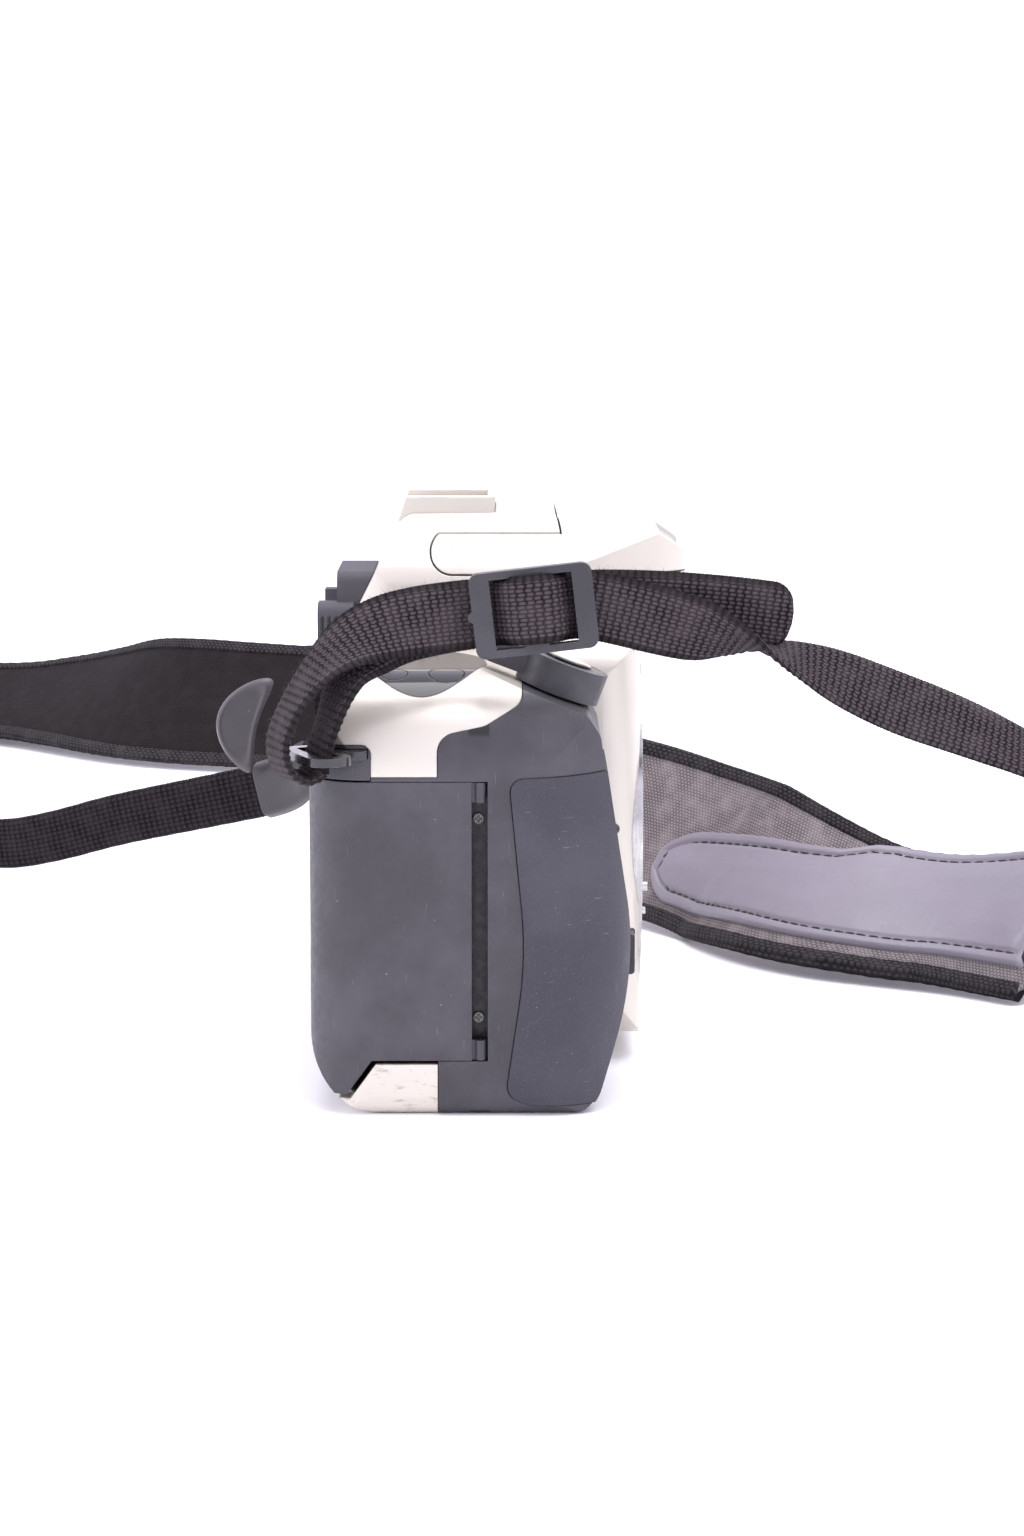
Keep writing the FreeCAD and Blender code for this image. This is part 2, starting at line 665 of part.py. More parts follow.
def lock_pin():
    pin = lock_pin_rod(0.75, flange_y - 0.9, flange_y + 8.0)
    collar = lock_pin_rod(1.6, flange_y + 6.6, flange_y + 8.0)
    return joined([pin, collar])


def af_coupler():
    """Autofocus drive: a shaft with a screwdriver blade at its front."""
    shaft = coupler_rod(1.1, flange_y - 0.7, flange_y + 8.0)
    x = -21.9
    z = axis_z - 13.2
    flat = box(x - 2, x + 2, flange_y - 2, flange_y + 0.3, z + 0.4, z + 2)
    other = box(x - 2, x + 2, flange_y - 2, flange_y + 0.3, z - 2, z - 0.4)
    gear = coupler_rod(1.8, flange_y + 6.5, flange_y + 8.0)
    return joined([shaft.cut(flat).cut(other), gear])


def release_block(inner_end, gap=0.0):
    """Lens release: a key on the grip side of the mount wall, up to its inner end."""
    return slab([(-19.4 - gap, 15.0 - gap, 0.6), (-16.2 + gap, 15.0 - gap, 0.6),
                 (-16.2 + gap, 21.4 + gap, 0.6), (-19.4 - gap, 21.4 + gap, 0.6)],
                "yz", -half_mount - 2.2, -half_mount + inner_end)


def lens_release():
    """The key, with a catch behind the wall that keeps it in."""
    catch_x = wall + 1.0 - half_mount
    catch_y = mount_front_y + wall + 1.9
    catch = box(catch_x, catch_x + 1.0, catch_y, catch_y + 2.5, 14.2, 22.2)
    return joined([release_block(wall + 1.1), catch])


def mirror_box():
    """Open box behind the mount, with a front plate that the mount screws into."""
    plate_y = mount_front_y + wall
    reach = mount_ring_radius - wall
    plate = rod(0, plate_y, axis_z, reach, 2.0, Vector(0, 1, 0))
    plate = plate.common(box(2.2 - reach, reach - 2.2, -far, far, axis_z - reach, axis_z + reach - 5.0))
    body = box(-19.8, 19.8, plate_y, 18.9, 20.8, 50.6)
    shape = joined([plate, body]).cut(box(-18.6, 18.6, plate_y - 1.0, 30.0, 22.0, 80.0))
    shape = shape.cut(rod(0, plate_y - 1.0, axis_z, mount_neck_radius + pin_gap,
                          mount_neck_length + 1.1, Vector(0, 1, 0)))
    for x, z in mount_screw_places():
        shape = shape.cut(rod(x, plate_y - 1.0, z, 0.8 + pin_gap, 6.0, Vector(0, 1, 0)))
    shape = shape.cut(lock_pin_rod(0.75 + slide_gap)).cut(coupler_rod(1.1 + slide_gap))
    shape = shape.cut(lock_pin_rod(1.6 + slide_gap, flange_y + 6.4, flange_y + 9.4))
    shape = shape.cut(coupler_rod(1.8 + slide_gap, flange_y + 6.4, flange_y + 8.1))
    for side in (-1, 1):
        shape = shape.cut(rod(side * 19.2 - 2.0, mirror_y, mirror_z, 0.5 + pin_gap, 4.0,
                              Vector(1, 0, 0)))
    return shape


def tilted_plate(half_width, start, end, low, high, degrees, y, z):
    """A plate that runs out from a pivot at (y, z), turned down from the -Y direction."""
    plate = box(-half_width, half_width, y - end, y - start, z + low, z + high)
    plate.rotate(Vector(0, y, z), Vector(1, 0, 0), degrees)
    return plate


def reflex_mirror():
    """The mirror at 45 degrees, hinged at its upper rear edge."""
    plate = tilted_plate(17.0, -0.4, mirror_length, -mirror_thick, 0.0, 45.0, mirror_y, mirror_z)
    pin = rod(-19.6, mirror_y, mirror_z - 0.1, 0.5, 39.2, Vector(1, 0, 0))
    pin.translate(Vector(0, 0, 0.1))
    shape = joined([plate, pin])
    y, z = sub_mirror_pivot()
    for side in (-1, 1):
        ear = tilted_plate(0.7, sub_mirror_at - 1.2, sub_mirror_at + 1.2, -mirror_thick - 2.0,
                           -mirror_thick, 45.0, mirror_y, mirror_z)
        ear.translate(Vector(side * 9.0, 0, 0))
        shape = joined([shape, ear])
    return shape.cut(rod(-12.0, y, z, 0.35 + pin_gap, 24.0, Vector(1, 0, 0)))


def sub_mirror_pivot():
    slope = math.sqrt(0.5)
    drop = mirror_thick + 1.1
    y = mirror_y - sub_mirror_at * slope + drop * slope
    z = mirror_z - sub_mirror_at * slope - drop * slope
    return y, z


def sub_mirror():
    """The small mirror behind the main one, that sends light to the autofocus sensor."""
    y, z = sub_mirror_pivot()
    plate = tilted_plate(7.8, 0.0, sub_mirror_length, -0.25, 0.25, 135.0, y, z)
    pin = rod(-9.6, y, z, 0.35, 19.2, Vector(1, 0, 0))
    return joined([plate, pin])


# ---------------------------------------------------------------- inside


def chassis():
    """Moulded frame with the film gate, the cassette chamber and the take-up chamber."""
    back = film_y - 0.2
    shape = box(grip_end + 9.5, far_end - 7.2, frame_front_y, back, chassis_low_z, chassis_high_z)
    shape = shape.cut(box(-far, grip_inner_x + 4.2, -far, 11.2, -far, far))
    for x, y in base_screw_places():
        post = rod(x, y, wall, 3.0, chassis_low_z - wall + 1.0)
        shape = joined([shape, post])
        shape = shape.cut(rod(x, y, 0.0, 1.0 + pin_gap, 9.0))
    shape = shape.cut(rod(cassette_x, cassette_y, door_bottom_z + 0.5, cassette_radius + 0.6, far))
    shape = shape.cut(box(cassette_x - cassette_radius - 0.6, cassette_x + cassette_radius + 0.6,
                          cassette_y, far, door_bottom_z + 0.5, far))
    shape = shape.cut(box(spool_x - 10.0, spool_x + 9.0, spool_y - spool_radius - 0.4, far,
                          door_bottom_z + 0.5, 48.6))
    shape = shape.cut(box(-20.2, 20.2, -far, shutter_y + 0.1, 8.5, far))
    shape = shape.cut(box(-22.0, 22.0, shutter_y - 0.1, shutter_y + shutter_depth + 0.1,
                          shutter_low_z - 0.7, far))
    gate = box(-gate_width / 2, gate_width / 2, -far, far, gate_low_z, gate_high_z)
    shape = shape.cut(gate)
    for x, radius in ((spool_x, 1.5), (cassette_x, 1.8)):
        y = spool_y if x == spool_x else cassette_y
        shape = shape.cut(rod(x, y, 4.5, radius + pin_gap, far))
    shape = shape.cut(tripod_rod(6.0 + pin_gap, 0.0, 9.5))
    return shape


def tripod_rod(radius, low, high):
    return rod(0, 0, low, radius, high - low)


def tripod_bush():
    """Threaded steel socket in the base."""
    body = tripod_rod(7.0, 0.0, bush_flange)
    neck = tripod_rod(5.6, bush_flange, tripod_depth + 0.8)
    return joined([body, neck]).cut(tripod_rod(tripod_hole_radius, -1.0, tripod_depth))


def base_screws():
    screws = []
    for x, y in base_screw_places():
        head = rod(x, y, 0.15, 1.8, 0.65)
        shank = rod(x, y, 0.8, 1.0, 6.0)
        cross = box(x - 1.2, x + 1.2, y - 0.2, y + 0.2, -1.0, 0.5)
        other = box(x - 0.2, x + 0.2, y - 1.2, y + 1.2, -1.0, 0.5)
        screws.append(joined([head, shank]).cut(cross).cut(other))
    return Part.Compound(screws)


def small_screws():
    """Cross-head screws that face the grip end."""
    screws = []
    for x, y, z in side_screw_places():
        head = rod(x - 0.6, y, z, 0.8, 0.6, Vector(1, 0, 0))
        shank = rod(x - 0.1, y, z, 0.4, 1.4, Vector(1, 0, 0))
        slot = box(x - 0.7, x - 0.35, y - 0.5, y + 0.5, z - 0.12, z + 0.12)
        other = box(x - 0.7, x - 0.35, y - 0.12, y + 0.12, z - 0.5, z + 0.5)
        screws.append(joined([head, shank]).cut(slot).cut(other))
    return Part.Compound(screws)


def shutter_frame():
    """Vertical-run focal-plane shutter, its two curtains each of two blades."""
    outer = box(-21.5, 21.5, shutter_y, shutter_y + shutter_depth, shutter_low_z - 0.6,
                shutter_high_z + 0.6)
    inner = box(-20.3, 20.3, shutter_y + 0.5, shutter_y + shutter_depth - 0.5, shutter_low_z,
                shutter_high_z)
    gate = box(-gate_width / 2 - 0.3, gate_width / 2 + 0.3, -far, far, gate_low_z, gate_high_z)
    return outer.cut(inner).cut(gate)


def shutter_blade(layer, low_z):
    y = shutter_y + 0.62 + layer * blade_pitch
    return box(-20.0, 20.0, y, y + blade_thick, low_z, low_z + blade_height)


def focusing_screen():
    return box(-18.4, 18.4, -13.5, 11.5, 50.9, 52.3)


def pentamirror():
    """Mirrors that turn the screen's picture round for the eyepiece."""
    top_z = roof_z - 5.0
    side = slab([(-1.0, 53.0, 0.5), (18.5, 53.0, 0.5), (18.5, eye_z + 3.0, 0.5),
                 (12.5, top_z, 0.5), (4.0, top_z, 0.5), (-1.0, eye_z + 1.0, 0.5)], "yz")
    front = slab([(-17.0, 53.0, 0.5), (-17.0, eye_z - 2.0, 1.0), (-6.0, top_z, 1.0),
                  (6.0, top_z, 1.0), (17.0, eye_z - 2.0, 1.0), (17.0, 53.0, 0.5)], "xz")
    return side.common(front)


def eyepiece_lens():
    block = box(-8.5, 8.5, 22.0, 27.0, eye_z - 4.0, eye_z + 4.0)
    curve = Part.makeSphere(30.0, Vector(0, -3.6, eye_z))
    return block.common(curve)


def eyecup():
    """Stepped rubber surround of the eyepiece."""
    low = slab([(-15.0, eye_z - 5.7, 2.0), (-15.0, eye_z + 2.2, 2.0),
                (15.0, eye_z + 2.2, 2.0), (15.0, eye_z - 5.7, 2.0)], "xz", 25.6, 31.4)
    high = slab([(-13.0, eye_z - 4.0, 1.0), (-11.0, eye_z + 7.0, 2.0),
                 (11.0, eye_z + 7.0, 2.0), (13.0, eye_z - 4.0, 1.0)], "xz", 22.4, 28.4)
    shape = joined([low, high]).cut(prism_block(-0.05))
    opening = slab([(-9.2, eye_z - 4.6, 1.5), (-9.2, eye_z + 4.6, 1.5),
                    (9.2, eye_z + 4.6, 1.5), (9.2, eye_z - 4.6, 1.5)], "xz", 20.0, 40.0)
    return shape.cut(opening)


def dioptre_slider():
    x = half_prism - 4.6
    knob = box(x - 1.4, x + 1.4, 25.55, 26.8, eye_z - 3.6, eye_z - 0.6)
    stem = box(x - 0.45, x + 0.45, 23.4, 25.6, eye_z - 3.4, eye_z - 1.0)
    return joined([knob, stem])


def transport_motor():
    """Film motor that stands inside the take-up spool."""
    can = rod(spool_x, spool_y, 12.5, 4.8, 32.0)
    shaft = rod(spool_x, spool_y, door_bottom_z + 0.5, 1.5, 4.2)
    flange = rod(spool_x, spool_y, door_bottom_z + 0.5, 4.8, 1.2)
    return joined([can, shaft, flange])


def take_up_spool():
    drum = rod(spool_x, spool_y, 11.0, spool_radius, 36.4)
    core = rod(spool_x, spool_y, 10.0, 4.8 + 0.35, 35.4)
    shape = drum.cut(core)
    shape = joined([shape, rod(spool_x, spool_y, 46.4, 1.5, 3.6)])
    for turn in range(4):
        tooth = box(spool_x + spool_radius - 0.3, spool_x + spool_radius + 0.25, spool_y - 0.5,
                    spool_y + 0.5, 17.0, 18.2)
        tooth.rotate(Vector(spool_x, spool_y, 0), Vector(0, 0, 1), 90.0 * turn)
        shape = joined([shape, tooth])
    return shape


def rewind_fork():
    """Fork that turns the film cassette's own spool."""
    disc = rod(cassette_x, cassette_y, door_bottom_z + 0.9, 4.2, 1.2)
    shaft = rod(cassette_x, cassette_y, 4.8, 1.8, 6.0)
    blade = box(cassette_x - 2.4, cassette_x + 2.4, cassette_y - 0.6, cassette_y + 0.6,
                door_bottom_z + 2.0, door_bottom_z + 5.0)
    return joined([disc, shaft, blade])


def autofocus_module():
    body = box(-11.0, 11.0, -3.0, 14.0, 11.0, 20.6)
    window = box(-6.0, 6.0, 2.0, 9.0, 20.0, 21.0)
    return body.cut(window)


def main_board():
    """Circuit board in front of the cassette chamber, with its chips."""
    board = box(20.6, far_end - 10.5, -1.2, -0.2, 10.0, 49.0)
    parts = [board]
    for x, z, half in ((28.0, 36.0, 3.5), (40.0, 24.0, 5.0), (52.0, 36.0, 4.0), (50.0, 16.0, 2.5)):
        parts.append(box(x - half, x + half, -0.3, 0.9, z - half, z + half))
    return joined(parts)


def flash_capacitor():
    return rod(24.0, 5.0, 57.6, 4.8, 30.0, Vector(1, 0, 0))


def battery_cells():
    cells = []
    for x, y in cell_places:
        can = rod(x, y, cell_low_z, cell_radius, cell_length - 1.0)
        tip = rod(x, y, cell_low_z + cell_length - 1.0, 2.4, 1.0)
        cells.append(joined([can, tip]))
    return Part.Compound(cells)


def battery_contacts():
    """Sprung leaf over the two cells' terminals."""
    first, second = cell_places
    top = cell_low_z + cell_length
    return joined([rod(first[0], first[1], top, 4.5, 0.6), rod(second[0], second[1], top, 4.5, 0.6),
                   contact_bar(first, second, top)])


def contact_bar(first, second, low):
    """A flat bar from one cell's axis to the other's."""
    run = Vector(second[0] - first[0], second[1] - first[1], 0)
    bar = Part.makeBox(run.Length, 3.0, 0.6, Vector(0, -1.5, 0))
    bar.rotate(Vector(0, 0, 0), Vector(0, 0, 1), math.degrees(math.atan2(run.y, run.x)))
    bar.translate(Vector(first[0], first[1], low))
    return bar


def battery_door():
    """Lid in the underside of the grip, with a contact post for each cell."""
    lid = battery_lid().common(box(-far, far, -far, far, 0.0, wall))
    hinge = rod(lid_hinge_x, -3.4, lid_hinge_z, 0.42, 5.0, Vector(0, 1, 0))
    web = box(lid_hinge_x - 0.6, lid_hinge_x, -3.4, 1.6, lid_hinge_z - 0.3, lid_hinge_z + 0.3)
    posts = [rod(x, y, wall - 0.2, 2.2, cell_low_z - wall + 0.1) for x, y in cell_places]
    return joined([lid, hinge, web] + posts)


def lcd_module():
    return box(panel_x - 5.0, panel_x + 12.0, panel_y - 6.5, panel_y + 6.5, deck_z - 3.8,
               deck_z - 2.1)


# ---------------------------------------------------------------- controls on the deck
def power_switch():
    """Ring round the shutter button, with the tab that turns it."""
    ring = release_rod(6.6, 0.35, 5.2)
    hub = release_rod(4.0, -2.6, 0.4)
    tab = box(-2.6, 2.6, 5.4, 10.2, 1.2, 5.0)
    tab = tab.fuse(rod(0, 10.2, 1.2, 2.6, 3.8)).removeSplitter()
    tab.rotate(Vector(0, 0, 0), Vector(1, 0, 0), release_tilt)
    tab.translate(Vector(release_x, release_y, release_z))
    shape = joined([ring, hub, tab])
    shape = shape.cut(release_rod(3.7 + slide_gap, 3.2, 9.0))
    return shape.cut(release_rod(1.5 + slide_gap, -5.0, 9.0))


def shutter_button():
    cap = release_rod(3.7, 4.2, 5.7)
    dome_middle = Vector(release_x, release_y, release_z) + release_axis() * (6.0 - 16.0)
    cap = cap.common(Part.makeSphere(16.0, dome_middle))
    stem = release_rod(1.5, -2.4, 4.4)
    return joined([cap, stem])


def mode_dial():
    """Notched dial on the far side of the deck."""
    dial = rod(dial_x, dial_y, deck_z + 0.3, 9.0, 5.2)
    for turn in range(36):
        notch = rod(dial_x + 9.25, dial_y, deck_z, 0.45, 4.6)
        notch.rotate(Vector(dial_x, dial_y, 0), Vector(0, 0, 1), 10.0 * turn)
        dial = dial.cut(notch)
    shaft = rod(dial_x, dial_y, deck_z - 3.6, 2.0, 4.2)
    return joined([dial, shaft])


def accessory_shoe():
    """Standard accessory shoe: a floor with two rails over it."""
    floor_z = roof_z - 0.9
    half = shoe_slot_width / 2.0
    y0 = shoe_y - shoe_length / 2.0
    y1 = shoe_y + shoe_length / 2.0
    shape = box(-half - 1.2, half + 1.2, y0, y1, floor_z - 0.8, floor_z + shoe_slot_height + 0.9)
    shape = shape.cut(box(-half, half, y0 + 1.2, far, floor_z, floor_z + shoe_slot_height))
    shape = shape.cut(box(-shoe_opening / 2, shoe_opening / 2, y0 + 1.2, far, floor_z, far))
    lean = Part.makeBox(60, 10, 20, Vector(-30, y1, floor_z - 3.0))
    lean.rotate(Vector(0, y1, floor_z - 0.8), Vector(1, 0, 0), 18.0)
    shape = shape.cut(lean)
    for x, y, radius in shoe_contact_places():
        shape = shape.cut(rod(x, y, floor_z - 3.0, radius + 0.3, 6.0))
    return shape


def shoe_contact_places():
    return [(0.0, shoe_y - 0.5, 1.6), (-4.0, shoe_y + 3.6, 0.8), (4.0, shoe_y + 3.6, 0.8)]


def shoe_contacts():
    floor_z = roof_z - 0.9
    pins = []
    for x, y, radius in shoe_contact_places():
        disc = rod(x, y, floor_z - 0.8, radius, 0.9)
        pins.append(disc)
    return Part.Compound(pins)


# ---------------------------------------------------------------- strap lugs and strap
def lug_base():
    block = body_block().common(lug_region())
    inside = body_block(5.0).fuse(box(grip_end + 9.5, far, -far, far, -far, far))
    return block.cut(inside).cut(lug_slot_cut())


def lug_bases():
    near = lug_base()
    return Part.Compound([near, mirrored(near)])


def strap_lug():
    """Flat steel eyelet that stands out of the rear corner at the grip end."""
    z = lug_low_z()
    plate = slab([(-7.5, -3.4, 3.0), (7.5, -3.4, 3.0), (7.5, 3.4, 3.0), (-7.5, 3.4, 3.0)],
                 "xy", z, z + lug_thick)
    slot = slab([(-5.6, -1.5, 1.2), (5.6, -1.5, 1.2), (5.6, 1.5, 1.2), (-5.6, 1.5, 1.2)],
                "xy", z - 1.0, z + lug_thick + 1.0)
    for shape in (plate, slot):
        shape.rotate(Vector(0, 0, 0), Vector(0, 0, 1), 23.0)
        shape.translate(Vector(grip_end - 2.4, 28.6, 0))
    plate = plate.cut(body_block(-0.15))
    tongue = box(grip_end - 2.4, grip_end + 5.4, 21.4, 26.1, z, z + lug_thick)
    return joined([plate, tongue]).cut(slot)


def strap_lugs():
    near = strap_lug()
    return Part.Compound([near, mirrored(near)])


def rounded_path(points):
    """Straight runs joined by tangent arcs, each as large as its two runs allow."""
    edges = []
    radii = []
    start = points[0]
    for i in range(1, len(points) - 1):
        back = points[i - 1] - points[i]
        ahead = points[i + 1] - points[i]
        reach = 0.45 * min(back.Length, ahead.Length)
        half_turn = (math.pi - back.getAngle(ahead)) / 2.0
        radius = reach / math.tan(half_turn)
        radii.append(radius)
        back.normalize()
        ahead.normalize()
        inward = back + ahead
        inward.normalize()
        into = points[i] + back * reach
        out_of = points[i] + ahead * reach
        middle = points[i] + inward * (radius / math.cos(half_turn) - radius)
        edges.append(Part.LineSegment(start, into).toShape())
        edges.append(Part.Arc(into, middle, out_of).toShape())
        start = out_of
    edges.append(Part.LineSegment(start, points[-1]).toShape())
    return Part.Wire(edges), radii


def laid_along(name, points, section, area):
    """A section carried along a rounded path. Prints what shows that it came out whole."""
    path, radii = rounded_path(points)
    solid = path.makePipeShell([section], True, False)
    print(name, "length", round(path.Length, 1), "least radius", round(min(radii), 1),
          "volume ratio", round(solid.Volume / (area * path.Length), 4))
    return solid


def webbing(name, route):
    """The narrow strap's plain solid: a round cord along its centre line."""
    points = [Vector(*p) for p in route]
    circle = Part.Circle(points[0], points[1] - points[0], webbing_radius)
    return laid_along(name, points, Part.Wire(circle.toShape()), math.pi * webbing_radius ** 2)


grip_strap_route = [
    (grip_end - 3.7, 31.6, 54.9), (grip_end - 3.4, 32.4, 61.5), (grip_end - 2.0, 29.6, 67.6),
    (grip_end - 0.6, 23.6, 72.4), (grip_end + 0.6, 14.8, 75.4), (grip_end + 1.4, 4.2, 76.4),
    (grip_end + 2.4, -7.0, 77.0), (grip_end + 3.6, -18.0, 75.6), (grip_end + 5.2, -30.0, 72.8),
    (grip_end + 7.6, -43.0, 68.4), (grip_end + 9.8, -56.0, 62.4), (grip_end + 12.0, -69.0, 57.2),
    (grip_end + 14.5, -82.0, 51.6), (grip_end + 20.0, -94.0, 45.6), (grip_end + 30.0, -104.0, 38.6),
    (grip_end + 43.0, -110.5, 31.0), (grip_end + 57.0, -111.0, 24.0),
    (grip_end + 71.0, -106.0, 19.4), (grip_end + 83.5, -97.0, 17.0)]

neck_band_route = [
    (16.0, -97.0), (28.0, -87.0), (41.0, -73.0), (52.0, -58.0), (68.0, -43.0), (87.0, -27.0),
    (109.0, -12.0), (134.0, 1.0), (161.0, 12.0), (189.0, 20.0), (218.0, 27.0), (246.0, 35.0),
    (270.0, 45.0), (286.0, 60.0), (296.0, 80.0), (311.0, 99.0), (331.0, 116.0),
    (349.0, 137.0), (356.0, 162.0), (346.0, 185.0), (308.0, 199.0)]

far_strap_route = [
    (far_end + 3.7, 31.6, 54.9), (far_end + 6.5, 33.4, 48.2), (far_end + 12.0, 37.0, 40.5),
    (far_end + 20.0, 42.0, 33.0), (far_end + 30.0, 50.0, 26.0), (far_end + 41.0, 62.0, 19.8),
    (far_end + 53.0, 78.0, 14.2), (far_end + 67.0, 97.0, 9.2), (far_end + 84.0, 118.0, 6.2),
    (far_end + 104.0, 140.0, 5.4), (far_end + 128.0, 161.0, 5.9), (far_end + 155.0, 179.0, 7.6),
    (far_end + 183.0, 193.0, 10.6), (far_end + 212.0, 200.0, 14.0),
    (308.0, 199.0, 17.0)]


def neck_band():
    """The wide band, standing on its lower edge on the table."""
    points = [Vector(x, y, 0) for x, y in neck_band_route]
    ahead = (points[1] - points[0]).normalize()
    across = Vector(-ahead.y, ahead.x, 0) * (band_thick / 2.0)
    up = Vector(0, 0, band_height)
    corners = [points[0] - across, points[0] + across, points[0] + across + up,
               points[0] - across + up]
    section = Part.makePolygon(corners + corners[:1])
    return laid_along("neck_band", points, section, band_thick * band_height)


def strap_buckle():
    """Tri-glide slider: a frame with a middle bar, over the release."""
    length = 18.2
    width = 12.7
    shape = slab([(-length / 2, -width / 2, 1.5), (length / 2, -width / 2, 1.5),
                  (length / 2, width / 2, 1.5), (-length / 2, width / 2, 1.5)], "yz", -1.2, 1.2)
    for side in (-1, 1):
        window = box(-3, 3, -2.15, 2.15, -5.2, 5.2)
        window.translate(Vector(0, side * 3.95, 0))
        shape = shape.cut(window)
    nub = rod(-1.2, length / 2.0 - 0.2, 0.0, 0.85, 2.4, Vector(1, 0, 0))
    shape = joined([shape, nub])
    shape.rotate(Vector(0, 0, 0), Vector(1, 0, 0), -6.5)
    shape.translate(Vector(grip_end + 1.9, -3.2, 76.0))
    return shape


# ---------------------------------------------------------------- every node

nodes = {
    "chassis": chassis, "mirror_box": mirror_box, "lens_mount_ring": lens_mount_ring,
    "mount_screws": mount_screws, "front_cover": front_cover, "grip_cover": grip_cover,
    "grip_rubber": rubber_skin, "top_cover": top_cover, "prism_cover": prism_cover,
    "bottom_cover": bottom_cover, "tripod_bush": tripod_bush, "base_screws": base_screws,
    "small_screws": small_screws, "control_panel": control_panel, "lcd_module": lcd_module,
    "accessory_shoe": accessory_shoe, "shoe_contacts": shoe_contacts,
    "eyepiece_lens": eyepiece_lens, "eyecup": eyecup, "pentamirror": pentamirror,
    "focusing_screen": focusing_screen, "shutter_frame": shutter_frame,
    "transport_motor": transport_motor, "main_board": main_board,
    "flash_capacitor": flash_capacitor, "battery_cells": battery_cells,
    "battery_contacts": battery_contacts, "autofocus_module": autofocus_module,
    "hinge_pins": hinge_pins, "lug_bases": lug_bases, "strap_lugs": strap_lugs,
    "film_door": film_door, "pressure_plate": pressure_plate, "film_window": film_window,
    "door_latch": door_latch, "flash_head": flash_head, "flash_window": flash_window,
    "shutter_button": shutter_button, "power_switch": power_switch, "mode_dial": mode_dial,
    "panel_button_rear": lambda: panel_button(0), "panel_button_front": lambda: panel_button(1),
    "lens_release": lens_release, "lock_pin": lock_pin, "af_coupler": af_coupler,
    "reflex_mirror": reflex_mirror, "sub_mirror": sub_mirror,
    "first_curtain_upper": lambda: shutter_blade(0, gate_high_z + 0.5 - blade_height),
    "first_curtain_lower": lambda: shutter_blade(1, gate_low_z - 0.5),
    "second_curtain_lower": lambda: shutter_blade(2, shutter_stack_z),
    "second_curtain_upper": lambda: shutter_blade(3, shutter_stack_z),
    "take_up_spool": take_up_spool, "rewind_fork": rewind_fork,
    "battery_door": battery_door, "dioptre_slider": dioptre_slider,
    "grip_strap": lambda: webbing("grip_strap", grip_strap_route), "neck_band": neck_band,
    "far_strap": lambda: webbing("far_strap", far_strap_route), "strap_buckle": strap_buckle,
}

os.makedirs("parts", exist_ok=True)
for node_name, build_node in nodes.items():
    save(node_name, build_node())
print(len(nodes), "nodes")
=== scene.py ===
import math
import random

import bpy
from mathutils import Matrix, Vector


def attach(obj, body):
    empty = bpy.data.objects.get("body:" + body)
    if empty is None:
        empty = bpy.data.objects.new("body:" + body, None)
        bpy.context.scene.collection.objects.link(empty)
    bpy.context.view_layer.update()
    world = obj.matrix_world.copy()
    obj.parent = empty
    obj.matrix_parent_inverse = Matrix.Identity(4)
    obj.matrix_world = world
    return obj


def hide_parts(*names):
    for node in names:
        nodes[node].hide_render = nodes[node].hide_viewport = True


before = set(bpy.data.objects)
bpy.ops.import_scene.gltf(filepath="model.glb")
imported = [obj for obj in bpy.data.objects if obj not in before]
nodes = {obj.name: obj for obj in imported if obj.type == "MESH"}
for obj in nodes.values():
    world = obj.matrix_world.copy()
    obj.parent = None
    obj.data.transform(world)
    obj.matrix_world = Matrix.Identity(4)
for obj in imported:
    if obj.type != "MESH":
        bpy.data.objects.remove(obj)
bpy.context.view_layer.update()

scene = bpy.context.scene
chance = random.Random(35)

# ---------------------------------------------------------------- camera
eye_place = (-0.5975, 0.0, 0.132)      # level with the middle of the body, off its grip end
eye_pitch = math.radians(8.5)          # looking down
camera_data = bpy.data.cameras.new("eye")
camera_data.sensor_fit = "VERTICAL"
camera_data.sensor_height = 36.0
camera_data.sensor_width = 36.0
camera_data.lens = 85.0
camera_data.clip_start = 0.05
camera_data.clip_end = 30.0
eye = bpy.data.objects.new("eye", camera_data)
eye.location = eye_place
eye.rotation_euler = (math.pi / 2 - eye_pitch, 0.0, -math.pi / 2)
scene.collection.objects.link(eye)
scene.camera = eye

# ---------------------------------------------------------------- light
scene.view_settings.view_transform = "Standard"
scene.view_settings.look = "None"
world = bpy.data.worlds.new("studio")
world.use_nodes = True
surround = world.node_tree.nodes["Background"].inputs
surround["Color"].default_value = (1.0, 0.955, 1.12, 1.0)      # a faint violet cast
surround["Strength"].default_value = 1.20
scene.world = world


def softbox(name, place, aim, width, height, watts):
    """A rectangular white area light that points from place to aim."""
    data = bpy.data.lights.new(name, "AREA")
    data.shape = "RECTANGLE"
    data.size = width
    data.size_y = height
    data.energy = watts
    lamp = bpy.data.objects.new(name, data)
    lamp.location = place
    lamp.rotation_euler = (Vector(aim) - Vector(place)).to_track_quat("-Z", "Y").to_euler()
    scene.collection.objects.link(lamp)


softbox("softbox_top", (0.05, -0.15, 0.95), (0.0, 0.0, 0.05), 0.9, 0.9, 9.0)
softbox("softbox_front", (-0.75, -0.75, 0.55), (0.0, 0.0, 0.05), 0.6, 0.6, 2.0)
softbox("softbox_rear", (-0.35, 0.95, 0.45), (0.0, 0.0, 0.04), 0.6, 0.5, 3.0)


# ---------------------------------------------------------------- materials
bevel_samples = 4
edge_starts = 0.995        # cosine between the true and the rounded normal where wear starts
edge_full = 0.9            # and where it is full


